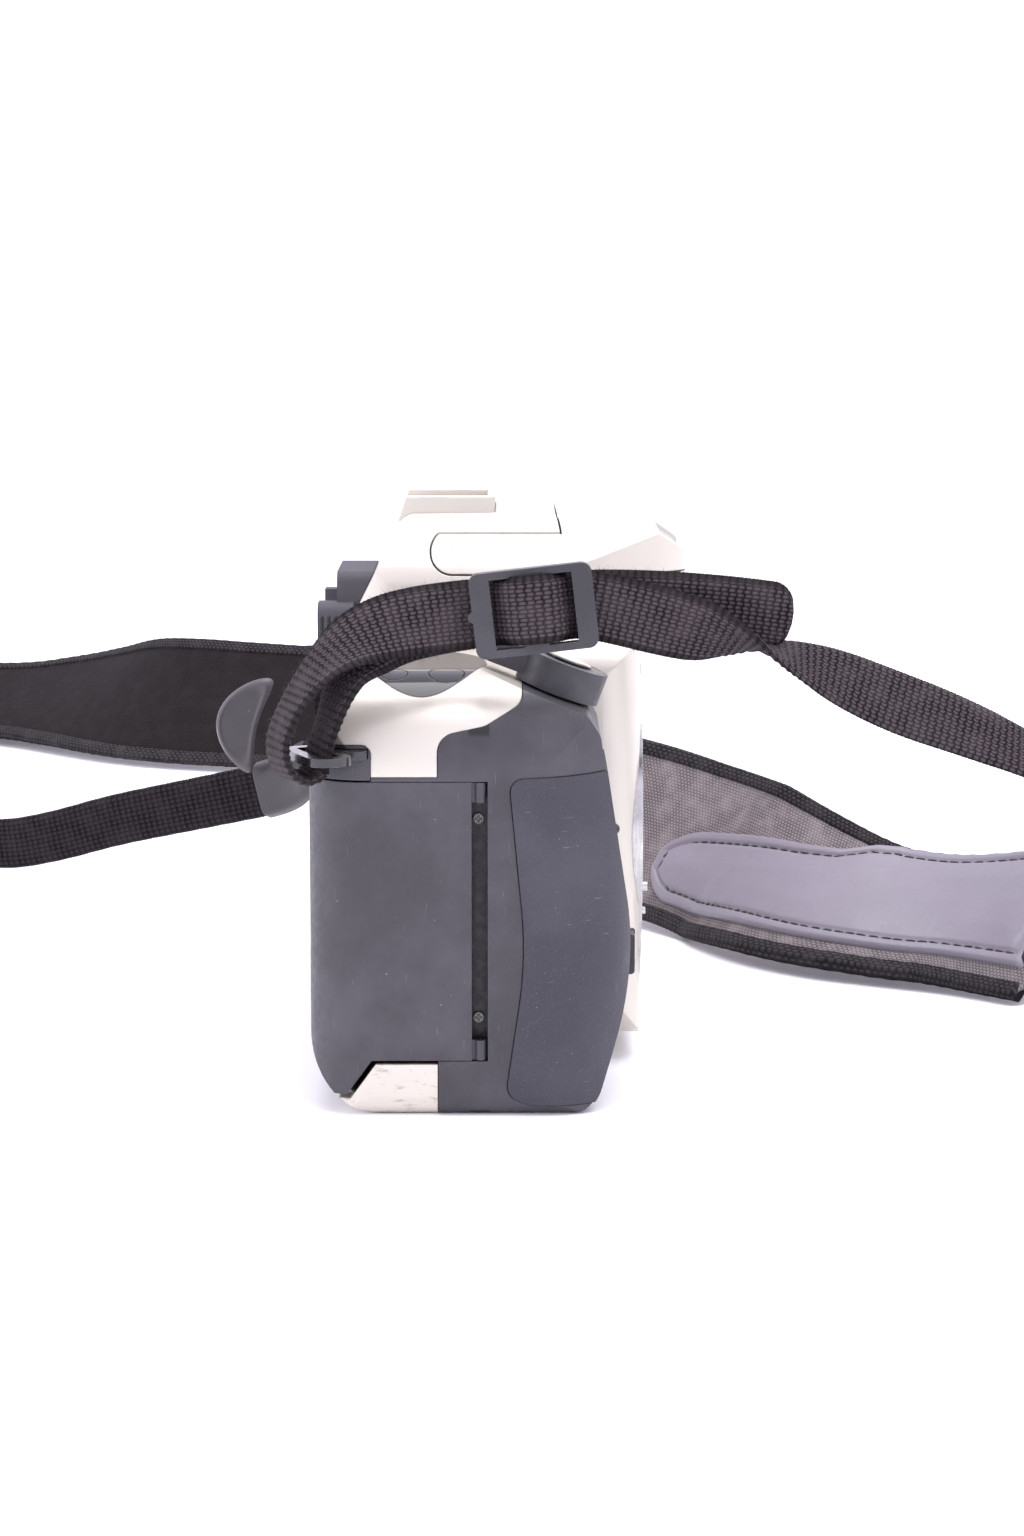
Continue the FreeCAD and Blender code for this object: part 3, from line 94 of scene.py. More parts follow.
class Surface:
    """One material, built node by node. Places are object coordinates in metres."""

    def __init__(self, name):
        self.material = bpy.data.materials.new(name)
        self.material.use_nodes = True
        self.tree = self.material.node_tree
        self.shader = self.tree.nodes["Principled BSDF"]
        self.coordinates = self.node("ShaderNodeTexCoord")
        self.place = self.coordinates.outputs["Object"]

    def node(self, kind, **settings):
        made = self.tree.nodes.new(kind)
        for key, value in settings.items():
            setattr(made, key, value)
        return made

    def link(self, source, target):
        self.tree.links.new(source, target)

    def set(self, **values):
        """Uniform values, straight on the shader's sockets."""
        for key, value in values.items():
            self.shader.inputs[key.replace("_", " ")].default_value = value

    def stretched(self, scale_x, scale_y, scale_z, turn=0.0):
        """Places scaled along each axis and turned by an angle in radians."""
        mapping = self.node("ShaderNodeMapping")
        mapping.inputs["Scale"].default_value = (scale_x, scale_y, scale_z)
        mapping.inputs["Rotation"].default_value = (turn, turn * 0.6, turn * 0.3)
        self.link(self.place, mapping.inputs["Vector"])
        return mapping.outputs["Vector"]

    def noise(self, scale, detail=3.0, roughness=0.55, source=None):
        """Cloudy noise, scale times per metre."""
        texture = self.node("ShaderNodeTexNoise")
        texture.inputs["Scale"].default_value = scale
        texture.inputs["Detail"].default_value = detail
        texture.inputs["Roughness"].default_value = roughness
        self.link(source or self.place, texture.inputs["Vector"])
        return texture.outputs["Fac"]

    def cells(self, scale, feature="F1", randomness=1.0):
        """Distance to the nearest of scattered points, scale of them per metre."""
        texture = self.node("ShaderNodeTexVoronoi", feature=feature)
        texture.inputs["Scale"].default_value = scale
        texture.inputs["Randomness"].default_value = randomness
        self.link(self.place, texture.inputs["Vector"])
        return texture.outputs["Distance"]

    def band(self, value, low, high, out_low=0.0, out_high=1.0):
        """value carried from low..high to out_low..out_high, smoothly and clamped."""
        ranged = self.node("ShaderNodeMapRange", interpolation_type="SMOOTHSTEP")
        ranged.inputs["From Min"].default_value = low
        ranged.inputs["From Max"].default_value = high
        ranged.inputs["To Min"].default_value = out_low
        ranged.inputs["To Max"].default_value = out_high
        self.link(value, ranged.inputs["Value"])
        return ranged.outputs["Result"]

    def split(self, source=None):
        """The X, Y and Z of a vector as three outputs."""
        parts = self.node("ShaderNodeSeparateXYZ")
        self.link(source or self.place, parts.inputs[0])
        return parts.outputs

    def maths(self, operation, first, second=None):
        made = self.node("ShaderNodeMath", operation=operation)
        for socket, value in zip(made.inputs, (first, second)):
            if value is None:
                continue
            if isinstance(value, (int, float)):
                socket.default_value = value
            else:
                self.link(value, socket)
        return made.outputs[0]

    def mixed(self, share, first, second):
        """A colour between first and second."""
        made = self.node("ShaderNodeMix", data_type="RGBA")
        self.link(share, made.inputs[0])
        colour_a, colour_b = made.inputs[6], made.inputs[7]
        for socket, value in ((colour_a, first), (colour_b, second)):
            if isinstance(value, tuple):
                socket.default_value = (*value, 1.0)
            else:
                self.link(value, socket)
        return made.outputs[2]      # the colour output of a colour mix

    def rounded(self, radius):
        """A normal that rounds sharp edges, and a mask of those edges."""
        bevel = self.node("ShaderNodeBevel", samples=bevel_samples)
        bevel.inputs["Radius"].default_value = radius
        geometry = self.node("ShaderNodeNewGeometry")
        dot = self.node("ShaderNodeVectorMath", operation="DOT_PRODUCT")
        self.link(bevel.outputs["Normal"], dot.inputs[0])
        self.link(geometry.outputs["Normal"], dot.inputs[1])
        return bevel.outputs["Normal"], self.band(dot.outputs["Value"], edge_starts, edge_full)

    def bump(self, height, depth, normal=None, strength=1.0):
        """A normal disturbed by height, which is worth depth metres at its full value."""
        made = self.node("ShaderNodeBump")
        made.inputs["Strength"].default_value = strength
        made.inputs["Distance"].default_value = depth
        self.link(height, made.inputs["Height"])
        if normal is not None:
            self.link(normal, made.inputs["Normal"])
        return made.outputs["Normal"]

    def finish(self, colour, roughness, normal):
        """Link what varies over the surface; a roughness of None leaves its uniform value."""
        self.link(colour, self.shader.inputs["Base Color"])
        if roughness is not None:
            self.link(roughness, self.shader.inputs["Roughness"])
        self.link(normal, self.shader.inputs["Normal"])
        return self.material


def champagne_paint(name, scuffs=0.0):
    """Satin silver paint with a warm tint on moulded plastic, with rubbed edges."""
    s = Surface(name)
    s.set(Metallic=0.32, Coat_Weight=0.25, Coat_Roughness=0.22)
    broad = s.noise(55.0, 2.0)
    flake = s.noise(9000.0, 1.0)
    colour = s.mixed(broad, (0.585, 0.550, 0.478), (0.655, 0.620, 0.552))
    colour = s.mixed(s.band(flake, 0.55, 0.75, 0.0, 0.35), colour, (0.72, 0.70, 0.67))
    normal, edge = s.rounded(0.00035)
    wear = s.maths("MULTIPLY", edge, s.band(s.noise(420.0, 4.0), 0.52, 0.66))
    colour = s.mixed(s.maths("MULTIPLY", wear, 0.55), colour, (0.34, 0.32, 0.30))
    smear = s.band(s.noise(1.0, 5.0, 0.7, s.stretched(260.0, 260.0, 900.0, 0.5)), 0.56, 0.70)
    spots = s.band(s.noise(900.0, 4.0, 0.7), 0.60, 0.72)
    dirt = s.maths("MULTIPLY", s.maths("MAXIMUM", smear, spots), scuffs)
    colour = s.mixed(dirt, colour, (0.30, 0.26, 0.20))
    rough = s.band(s.noise(240.0, 3.0), 0.3, 0.7, 0.30, 0.42)
    grain = s.bump(flake, 0.000012, normal, 0.6)
    return s.finish(colour, rough, grain)


# the hinge slot that runs up the grip end between the film door and the grip cover, where
# painted shade darkens the moulded plastics
slot_lip_x = -0.0666
slot_middle_y = 0.0049
slot_half_width = 0.0014


def moulded_plastic(name, base, rough=(0.36, 0.5), grain=0.000028, speck=0.5):
    """Fine-textured moulding, with dust in its texture, faint rubs and bright edges."""
    s = Surface(name)
    s.set(Specular_IOR_Level=0.55)
    lighter = tuple(min(1.0, c * 1.45 + 0.01) for c in base)
    broad = s.noise(70.0, 3.0)
    colour = s.mixed(s.band(broad, 0.35, 0.7), base, lighter)
    normal, edge = s.rounded(0.00025)
    worn = s.maths("MULTIPLY", edge, s.band(s.noise(600.0, 3.0), 0.42, 0.62, 0.15, 0.6))
    colour = s.mixed(worn, colour, tuple(c * 3.0 + 0.03 for c in base))
    dust = s.band(s.cells(520.0), 0.075, 0.04, 0.0, speck)
    sparse = s.band(s.noise(160.0, 2.0), 0.56, 0.64)
    colour = s.mixed(s.maths("MULTIPLY", dust, sparse), colour, (0.42, 0.41, 0.43))
    streak = s.band(s.noise(1.0, 2.0, 0.5, s.stretched(150.0, 4200.0, 300.0, 0.7)), 0.70, 0.76)
    colour = s.mixed(s.maths("MULTIPLY", streak, 0.12), colour, (0.4, 0.4, 0.42))
    # painted shade: inside the hinge slot the colour goes near black, as if no light reached it
    parts = s.split()
    sunk = s.band(parts["X"], slot_lip_x, slot_lip_x + 0.0004)
    inside = s.band(s.maths("ABSOLUTE", s.maths("SUBTRACT", parts["Y"], slot_middle_y)),
                    slot_half_width + 0.0003, slot_half_width)
    slot_shade = (0.001, 0.001, 0.0012)
    colour = s.mixed(s.maths("MULTIPLY", sunk, inside), colour, slot_shade)
    texture = s.cells(4200.0)
    normal = s.bump(texture, grain, normal)
    return s.finish(colour, s.band(s.noise(900.0, 3.0), 0.3, 0.7, *rough), normal)


def grip_rubber_skin():
    """Matte rubber: a fine sandy grain, pale rubs, dust and a few short scratches."""
    s = Surface("rubber_pad")
    s.set(Specular_IOR_Level=0.35, Sheen_Weight=0.12, Sheen_Roughness=0.5)
    colour = s.mixed(s.band(s.noise(60.0, 4.0, 0.6), 0.35, 0.7), (0.040, 0.039, 0.050),
                     (0.062, 0.060, 0.074))
    grain = s.noise(5200.0, 2.0, 0.6)
    colour = s.mixed(s.band(grain, 0.60, 0.74, 0.0, 0.5), colour, (0.16, 0.155, 0.18))
    rub = s.noise(1.0, 5.0, 0.62, s.stretched(90.0, 130.0, 60.0, 0.4))
    rub = s.band(rub, 0.58, 0.78, 0.0, 0.3)
    colour = s.mixed(rub, colour, (0.20, 0.195, 0.21))
    dust = s.band(s.cells(1300.0), 0.13, 0.05, 0.0, 0.55)
    sparse = s.band(s.noise(260.0, 2.0), 0.57, 0.66)
    colour = s.mixed(s.maths("MULTIPLY", dust, sparse), colour, (0.40, 0.39, 0.41))
    scratch = s.band(s.noise(1.0, 1.0, 0.4, s.stretched(420.0, 380.0, 4600.0, 0.9)), 0.75, 0.79)
    colour = s.mixed(s.maths("MULTIPLY", scratch, 0.16), colour, (0.5, 0.49, 0.5))
    normal = s.bump(grain, 0.00005, s.rounded(0.0003)[0])
    rough = s.band(s.noise(120.0, 3.0), 0.3, 0.7, 0.62, 0.78)
    return s.finish(colour, rough, normal)


def eyecup_rubber():
    """Matte rubber with upright ribs moulded round its lower block."""
    s = Surface("eyecup_rubber")
    s.set(Specular_IOR_Level=0.3)
    rib_pitch = 0.0011
    ribs_end_z = 0.0700
    parts = s.split()
    turns = s.maths("MULTIPLY", parts["Y"], 2.0 * math.pi / rib_pitch)
    low = s.band(parts["Z"], ribs_end_z, ribs_end_z - 0.0006)
    rib = s.maths("MULTIPLY", s.maths("SINE", turns), low)
    # painted shade: the grooves between the ribs take the dark colour and the crests the
    # lighter one
    colour = s.mixed(s.band(rib, -0.9, -0.2), (0.016, 0.016, 0.020), (0.066, 0.063, 0.074))
    grain = s.noise(5200.0, 2.0, 0.6)
    normal = s.bump(grain, 0.00004, s.bump(rib, 0.00016, s.rounded(0.0004)[0]))
    return s.finish(colour, s.band(grain, 0.3, 0.7, 0.55, 0.7), normal)


def gloss_plastic(name, base):
    """Polished moulding with hairline scratches and a little dust."""
    s = Surface(name)
    s.set(Coat_Weight=0.25, Coat_Roughness=0.03, Specular_IOR_Level=0.4)
    dust = s.band(s.cells(900.0), 0.09, 0.05, 0.0, 0.5)
    sparse = s.band(s.noise(300.0, 2.0), 0.58, 0.66)
    colour = s.mixed(s.maths("MULTIPLY", dust, sparse), base, (0.4, 0.4, 0.42))
    hair = s.noise(1.0, 2.0, 0.5, s.stretched(120.0, 6500.0, 120.0, 0.6))
    normal = s.bump(hair, 0.000004, s.rounded(0.0003)[0])
    return s.finish(colour, s.band(hair, 0.4, 0.75, 0.05, 0.16), normal)


def steel(name, base=(0.62, 0.61, 0.60), rough=(0.2, 0.34), metallic=1.0):
    """Turned or rolled metal, with fine marks and handling wear."""
    s = Surface(name)
    s.set(Metallic=metallic)
    marks = s.noise(1.0, 3.0, 0.6, s.stretched(400.0, 7000.0, 400.0))
    darker = tuple(c * 0.78 for c in base)
    colour = s.mixed(s.band(s.noise(300.0, 4.0), 0.35, 0.7), darker, base)
    normal = s.bump(marks, 0.000006, s.rounded(0.0002)[0])
    return s.finish(colour, s.band(marks, 0.3, 0.7, *rough), normal)


def enamelled_metal():
    """Black lacquer on the strap lug, worn bright on its edges."""
    s = Surface("lug_lacquer")
    s.set(Coat_Weight=0.5, Coat_Roughness=0.08)
    normal, edge = s.rounded(0.0002)
    chips = s.maths("MULTIPLY", edge, s.band(s.noise(1500.0, 4.0), 0.52, 0.64, 0.0, 0.5))
    colour = s.mixed(chips, (0.012, 0.012, 0.014), (0.32, 0.30, 0.28))
    rough = s.band(s.noise(800.0, 3.0), 0.3, 0.7, 0.14, 0.3)
    return s.finish(colour, rough, s.bump(s.noise(2500.0, 2.0), 0.00001, normal))


def clear_moulding():
    """Clear acrylic with faint surface dust."""
    s = Surface("clear")
    s.set(Transmission_Weight=0.85, IOR=1.49, Roughness=0.03, Coat_Weight=0.3)
    dust = s.band(s.cells(1100.0), 0.09, 0.05, 0.0, 0.35)
    colour = s.mixed(dust, (0.9, 0.95, 0.95), (0.6, 0.6, 0.6))
    return s.finish(colour, None, s.bump(s.noise(600.0), 0.000004))


def diffuser():
    """Ribbed flash window: a milky lens over its bright reflector."""
    s = Surface("flash_lens")
    s.set(Transmission_Weight=0.25, IOR=1.49, Coat_Weight=0.6, Coat_Roughness=0.05)
    wave = s.node("ShaderNodeTexWave", wave_type="BANDS", bands_direction="X")
    wave.inputs["Scale"].default_value = 500.0
    s.link(s.place, wave.inputs["Vector"])
    # painted shade and highlight: the ribs' troughs are coloured darker than their crests
    colour = s.mixed(wave.outputs["Fac"], (0.62, 0.63, 0.65), (0.86, 0.87, 0.88))
    return s.finish(colour, s.band(wave.outputs["Fac"], 0.0, 1.0, 0.12, 0.3),
                    s.bump(wave.outputs["Fac"], 0.0002))


def circuit_board():
    """Green solder mask with copper tracks, and dark chips standing on it."""
    s = Surface("circuit_board")
    tracks = s.cells(260.0, feature="DISTANCE_TO_EDGE", randomness=0.6)
    colour = s.mixed(s.band(tracks, 0.06, 0.10), (0.25, 0.42, 0.20), (0.03, 0.14, 0.07))
    chip = s.band(s.split()["Y"], -0.0001, 0.0)
    colour = s.mixed(chip, colour, (0.02, 0.02, 0.022))
    return s.finish(colour, s.band(tracks, 0.0, 0.3, 0.3, 0.5), s.bump(tracks, 0.00006))


def cell_jacket():
    """Printed jacket of a lithium cell: brushed metal with plain dark bands."""
    s = Surface("cell_jacket")
    s.set(Metallic=0.6)
    stripe_z = 0.0180
    stripe = s.band(s.split()["Z"], stripe_z, stripe_z + 0.0002)
    colour = s.mixed(stripe, (0.55, 0.55, 0.57), (0.03, 0.05, 0.12))
    fine = s.noise(1.0, 3.0, 0.5, s.stretched(3000.0, 3000.0, 120.0))
    colour = s.mixed(s.band(fine, 0.5, 0.8, 0.0, 0.2), colour, (0.8, 0.8, 0.8))
    return s.finish(colour, s.band(fine, 0.3, 0.7, 0.22, 0.4), s.bump(fine, 0.00001))


band_dark_from = 0.10       # X where the painted shade on the wide band starts
band_dark_to = 0.20         # and where it is darkest


def weave(name, warp, weft, dark, light, depth=0.00022, brick=0.5, keep_under_shade=1.0):
    """Woven yarns: UV u runs along the strap and v across it, both in metres.

    warp and weft are the yarns' pitches; brick is how far neighbouring warp columns are
    set off; keep_under_shade is how much of its colour the far end keeps in painted shade.
    """
    s = Surface(name)
    s.set(Sheen_Weight=0.02, Sheen_Roughness=0.45, Specular_IOR_Level=0.06)
    parts = s.split(s.coordinates.outputs["UV"])
    across = s.maths("DIVIDE", parts["Y"], warp)
    column = s.maths("FLOOR", across)
    odd = s.maths("MULTIPLY", s.maths("FLOORED_MODULO", column, 2.0), brick)
    along = s.maths("ADD", s.maths("DIVIDE", parts["X"], weft), odd)
    over = s.maths("ABSOLUTE", s.maths("SINE", s.maths("MULTIPLY", along, math.pi)))
    yarn = s.maths("ABSOLUTE", s.maths("SINE", s.maths("MULTIPLY", across, math.pi)))
    height = s.maths("MULTIPLY", s.maths("POWER", over, 0.7), s.maths("POWER", yarn, 0.5))
    strands = s.noise(9000.0, 3.0, 0.6)
    blotch = s.noise(240.0, 4.0, 0.6)
    # partly the yarns' own tone, partly painted shade: the hollows between yarns take the dark
    # colour and the crests the light one
    colour = s.mixed(s.band(height, 0.15, 0.95), dark, light)
    rubbed = tuple(c * 1.5 for c in light)
    frayed = tuple(c * 2.1 for c in light)
    colour = s.mixed(s.band(blotch, 0.35, 0.75, 0.0, 0.4), colour, rubbed)
    colour = s.mixed(s.band(strands, 0.60, 0.80, 0.0, 0.3), colour, frayed)
    # painted shade: the band's colour darkens with X towards its far end, where shadow fell
    if keep_under_shade < 1.0:
        share = s.band(s.split()["X"], band_dark_from, band_dark_to, 0.0, 1.0 - keep_under_shade)
        colour = s.mixed(share, colour, (0.006, 0.005, 0.0055))
    full = s.maths("ADD", height, s.maths("MULTIPLY", strands, 0.35))
    normal = s.bump(full, depth)
    return s.finish(colour, s.band(strands, 0.3, 0.7, 0.62, 0.85), normal)


def vinyl(name, base, rim=None):
    """Smooth imitation leather with a shallow grain; rim is the lighter colour its edge is
    given.
    """
    s = Surface(name)
    s.set(Specular_IOR_Level=0.5, Coat_Weight=0.12, Coat_Roughness=0.4)
    pebble = s.cells(1500.0, feature="SMOOTH_F1")
    colour = s.mixed(s.noise(60.0, 4.0), base, tuple(c * 1.35 + 0.01 for c in base))
    scuff = s.band(s.noise(700.0, 4.0, 0.7), 0.66, 0.76, 0.0, 0.3)
    colour = s.mixed(scuff, colour, (0.30, 0.29, 0.31))
    if rim is not None:
        outward = s.split(s.coordinates.outputs["UV"])["X"]
        colour = s.mixed(s.band(outward, 0.66, 0.84, 0.0, 0.85), colour, rim)
    return s.finish(colour, s.band(s.noise(300.0, 3.0), 0.3, 0.7, 0.34, 0.46),
                    s.bump(pebble, 0.00004))


def thread(name, base):
    """Twisted sewing thread."""
    s = Surface(name)
    s.set(Sheen_Weight=0.3)
    twist = s.noise(1.0, 2.0, 0.5, s.stretched(5000.0, 5000.0, 2500.0, 0.8))
    colour = s.mixed(twist, tuple(c * 0.6 for c in base), tuple(c * 1.4 for c in base))
    return s.finish(colour, s.band(twist, 0.2, 0.8, 0.6, 0.8), s.bump(twist, 0.00005))


champagne = champagne_paint("champagne")
champagne_scuffed = champagne_paint("champagne_scuffed", 0.75)
body_black = moulded_plastic("body_black", (0.030, 0.028, 0.035))
door_black = moulded_plastic("door_black", (0.032, 0.030, 0.037), (0.40, 0.54), 0.00002)
inner_black = moulded_plastic("inner_black", (0.014, 0.014, 0.016), (0.6, 0.75), 0.00004, 0.25)
buckle_black = moulded_plastic("buckle_black", (0.024, 0.023, 0.028), (0.26, 0.4), 0.000018)
rubber = grip_rubber_skin()
eyecup_skin = eyecup_rubber()
gloss = gloss_plastic("gloss_black", (0.006, 0.006, 0.008))
steel_bright = steel("steel_bright")
steel_dark = steel("steel_dark", (0.16, 0.155, 0.15), (0.3, 0.45))
steel_black = steel("steel_black", (0.020, 0.020, 0.022), (0.4, 0.55))
blade = steel("shutter_blade", (0.05, 0.05, 0.055), (0.4, 0.55), 0.6)
gold = steel("contact_gold", (0.85, 0.62, 0.26), (0.15, 0.3))
silvered = steel("silvered", (0.9, 0.9, 0.92), (0.02, 0.05))
lug_lacquer = enamelled_metal()
clear = clear_moulding()
flash_lens = diffuser()
board = circuit_board()
jacket = cell_jacket()
lcd = gloss_plastic("lcd_glass", (0.20, 0.22, 0.19))
webbing_cloth = weave("webbing_cloth", 0.00062, 0.00115, (0.008, 0.0065, 0.0075),
                      (0.082, 0.067, 0.073), 0.00030, 0.16)
far_webbing_cloth = weave("far_webbing_cloth", 0.0009, 0.0015, (0.004, 0.0035, 0.004),
                          (0.030, 0.025, 0.028), 0.00035, 0.08)
band_cloth = weave("band_cloth", 0.0006, 0.0008, (0.080, 0.070, 0.072), (0.235, 0.208, 0.212),
                   0.00012, keep_under_shade=0.06)
binding = weave("binding", 0.0007, 0.0012, (0.010, 0.009, 0.010), (0.046, 0.042, 0.045))
pad_vinyl = vinyl("pad_vinyl", (0.165, 0.150, 0.180))
tab_vinyl = vinyl("tab_vinyl", (0.030, 0.026, 0.030), rim=(0.075, 0.066, 0.074))
keeper_vinyl = vinyl("keeper_vinyl", (0.016, 0.014, 0.016))
black_thread = thread("black_thread", (0.030, 0.027, 0.034))

finishes = {
    champagne: ["top_cover", "front_cover", "prism_cover", "flash_head", "accessory_shoe"],
    champagne_scuffed: ["bottom_cover"],
    body_black: ["grip_cover", "lug_bases", "battery_door", "power_switch", "mode_dial",
                 "door_latch", "lens_release", "dioptre_slider"],
    door_black: ["film_door"],
    rubber: ["grip_rubber"],
    eyecup_skin: ["eyecup"],
    gloss: ["control_panel", "panel_button_rear", "panel_button_front", "shutter_button"],
    inner_black: ["chassis", "mirror_box", "shutter_frame", "autofocus_module", "rewind_fork",
                  "take_up_spool", "flash_capacitor"],
    steel_bright: ["lens_mount_ring", "mount_screws", "base_screws", "tripod_bush",
                   "lock_pin", "af_coupler", "transport_motor", "battery_contacts"],
    steel_dark: ["small_screws", "pressure_plate"],
    steel_black: ["hinge_pins"],
    blade: ["first_curtain_upper", "first_curtain_lower", "second_curtain_lower",
            "second_curtain_upper"],
    gold: ["shoe_contacts"],
    silvered: ["reflex_mirror", "sub_mirror", "pentamirror"],
    lug_lacquer: ["strap_lugs"],
    clear: ["eyepiece_lens", "film_window", "focusing_screen"],
    flash_lens: ["flash_window"],
    board: ["main_board"],
    jacket: ["battery_cells"],
    lcd: ["lcd_module"],
}
for finish, names in finishes.items():
    for name in names:
        mesh = nodes[name].data
        mesh.materials.clear()
        mesh.materials.append(finish)


# ---------------------------------------------------------------- mesh tools
spline_steps = 32           # points between two control points of a strap's route


def new_piece(name, vertices, faces, material, uvs=None):
    """A mesh object that rides on the camera body. uvs has one pair per vertex."""
    mesh = bpy.data.meshes.new(name)
    mesh.from_pydata([tuple(v) for v in vertices], [], faces)
    mesh.materials.append(material)
    if uvs is not None:
        layer = mesh.uv_layers.new(name="UVMap")
        for loop in mesh.loops:
            layer.data[loop.index].uv = uvs[loop.vertex_index]
    mesh.polygons.foreach_set("use_smooth", [True] * len(mesh.polygons))
    mesh.update()
    piece = bpy.data.objects.new(name, mesh)
    scene.collection.objects.link(piece)
    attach(piece, "camera")
    return piece


def spline_points(points):
    """The points of the smooth open spline that has these control points."""
    curve = bpy.data.curves.new("route", "CURVE")
    curve.dimensions = "3D"
    spline = curve.splines.new("NURBS")
    spline.points.add(len(points) - 1)
    for target, point in zip(spline.points, points):
        target.co = (*point, 1.0)
    spline.order_u = 3
    spline.use_endpoint_u = True
    spline.resolution_u = spline_steps
    curve.resolution_u = spline_steps
    holder = bpy.data.objects.new("route", curve)
    mesh = bpy.data.meshes.new_from_object(holder)
    line = [vertex.co.copy() for vertex in mesh.vertices]
    bpy.data.objects.remove(holder)
    bpy.data.meshes.remove(mesh)
    return line


def stations(route, step):
    """Even places along a strap: (point, tangent, width direction, face direction, run).

    route is a list of (control point, width direction there).
    """
    reach = 0.01
    line = spline_points([Vector(p) for p, a in route])
    edge = spline_points([Vector(p) + Vector(a).normalized() * reach for p, a in route])
    runs = [0.0]
    for first, second in zip(line, line[1:]):
        runs.append(runs[-1] + (second - first).length)
    count = max(2, round(runs[-1] / step))
    places = []
    i = 0
    for k in range(count + 1):
        run = runs[-1] * k / count
        while i < len(runs) - 2 and runs[i + 1] < run:
            i += 1
        share = (run - runs[i]) / max(runs[i + 1] - runs[i], 1e-9)
        point = line[i].lerp(line[i + 1], share)
        tangent = (line[i + 1] - line[i]).normalized()
        width = edge[i].lerp(edge[i + 1], share) - point
        width = (width - tangent * width.dot(tangent)).normalized()
        places.append((point, tangent, width, width.cross(tangent), run))
    return places


def strap(name, places, half_width, half_thick, material, rib=0.0, pitch=0.00115, wave=0.0,
          ends=(0.0, 0.0), columns=12):
    """A flat woven strap with transverse ribs and looped edges.

    rib is the height of its ribs, pitch their distance, and wave how far its edges loop
    out; ends are the lengths over which its two ends narrow.
    """
    narrowest = 0.25
    lower_uv_shift = 0.05
    section = []
    for k in range(columns + 1):
        v = -1.0 + 2.0 * k / columns
        section.append((v, (1.0 - abs(v) ** 6) ** 0.5))
    back = [(v, -w) for v, w in section[-2:0:-1]]
    section = section + back
    vertices = []
    uvs = []
    faces = []
    total = places[-1][4]
    around = len(section)
    for point, tangent, width, normal, run in places:
        phase = math.cos(2.0 * math.pi * run / pitch)
        narrow = 1.0
        for reach, gap in ((ends[0], run), (ends[1], total - run)):
            if reach > 0.0 and gap < reach:
                arc = math.sqrt(max(0.0, 1.0 - (1.0 - gap / reach) ** 2))
                narrow = min(narrow, arc * (1.0 - narrowest) + narrowest)
        for v, w in section:
            edge_out = wave * phase * abs(v) ** 8
            across = v * half_width * narrow + math.copysign(edge_out, v)
            lift = w * (half_thick + rib * phase * (1.0 - abs(v) ** 10))
            vertices.append(point + width * across + normal * lift)
            uvs.append((run, across if w >= 0 else across + lower_uv_shift))
    for k in range(len(places) - 1):
        for j in range(around):
            following = (j + 1) % around
            faces.append((k * around + j, k * around + following,
                          (k + 1) * around + following, (k + 1) * around + j))
    faces.append(tuple(reversed(range(around))))
    last = (len(places) - 1) * around
    faces.append(tuple(range(last, last + around)))
    return new_piece(name, vertices, faces, material, uvs)


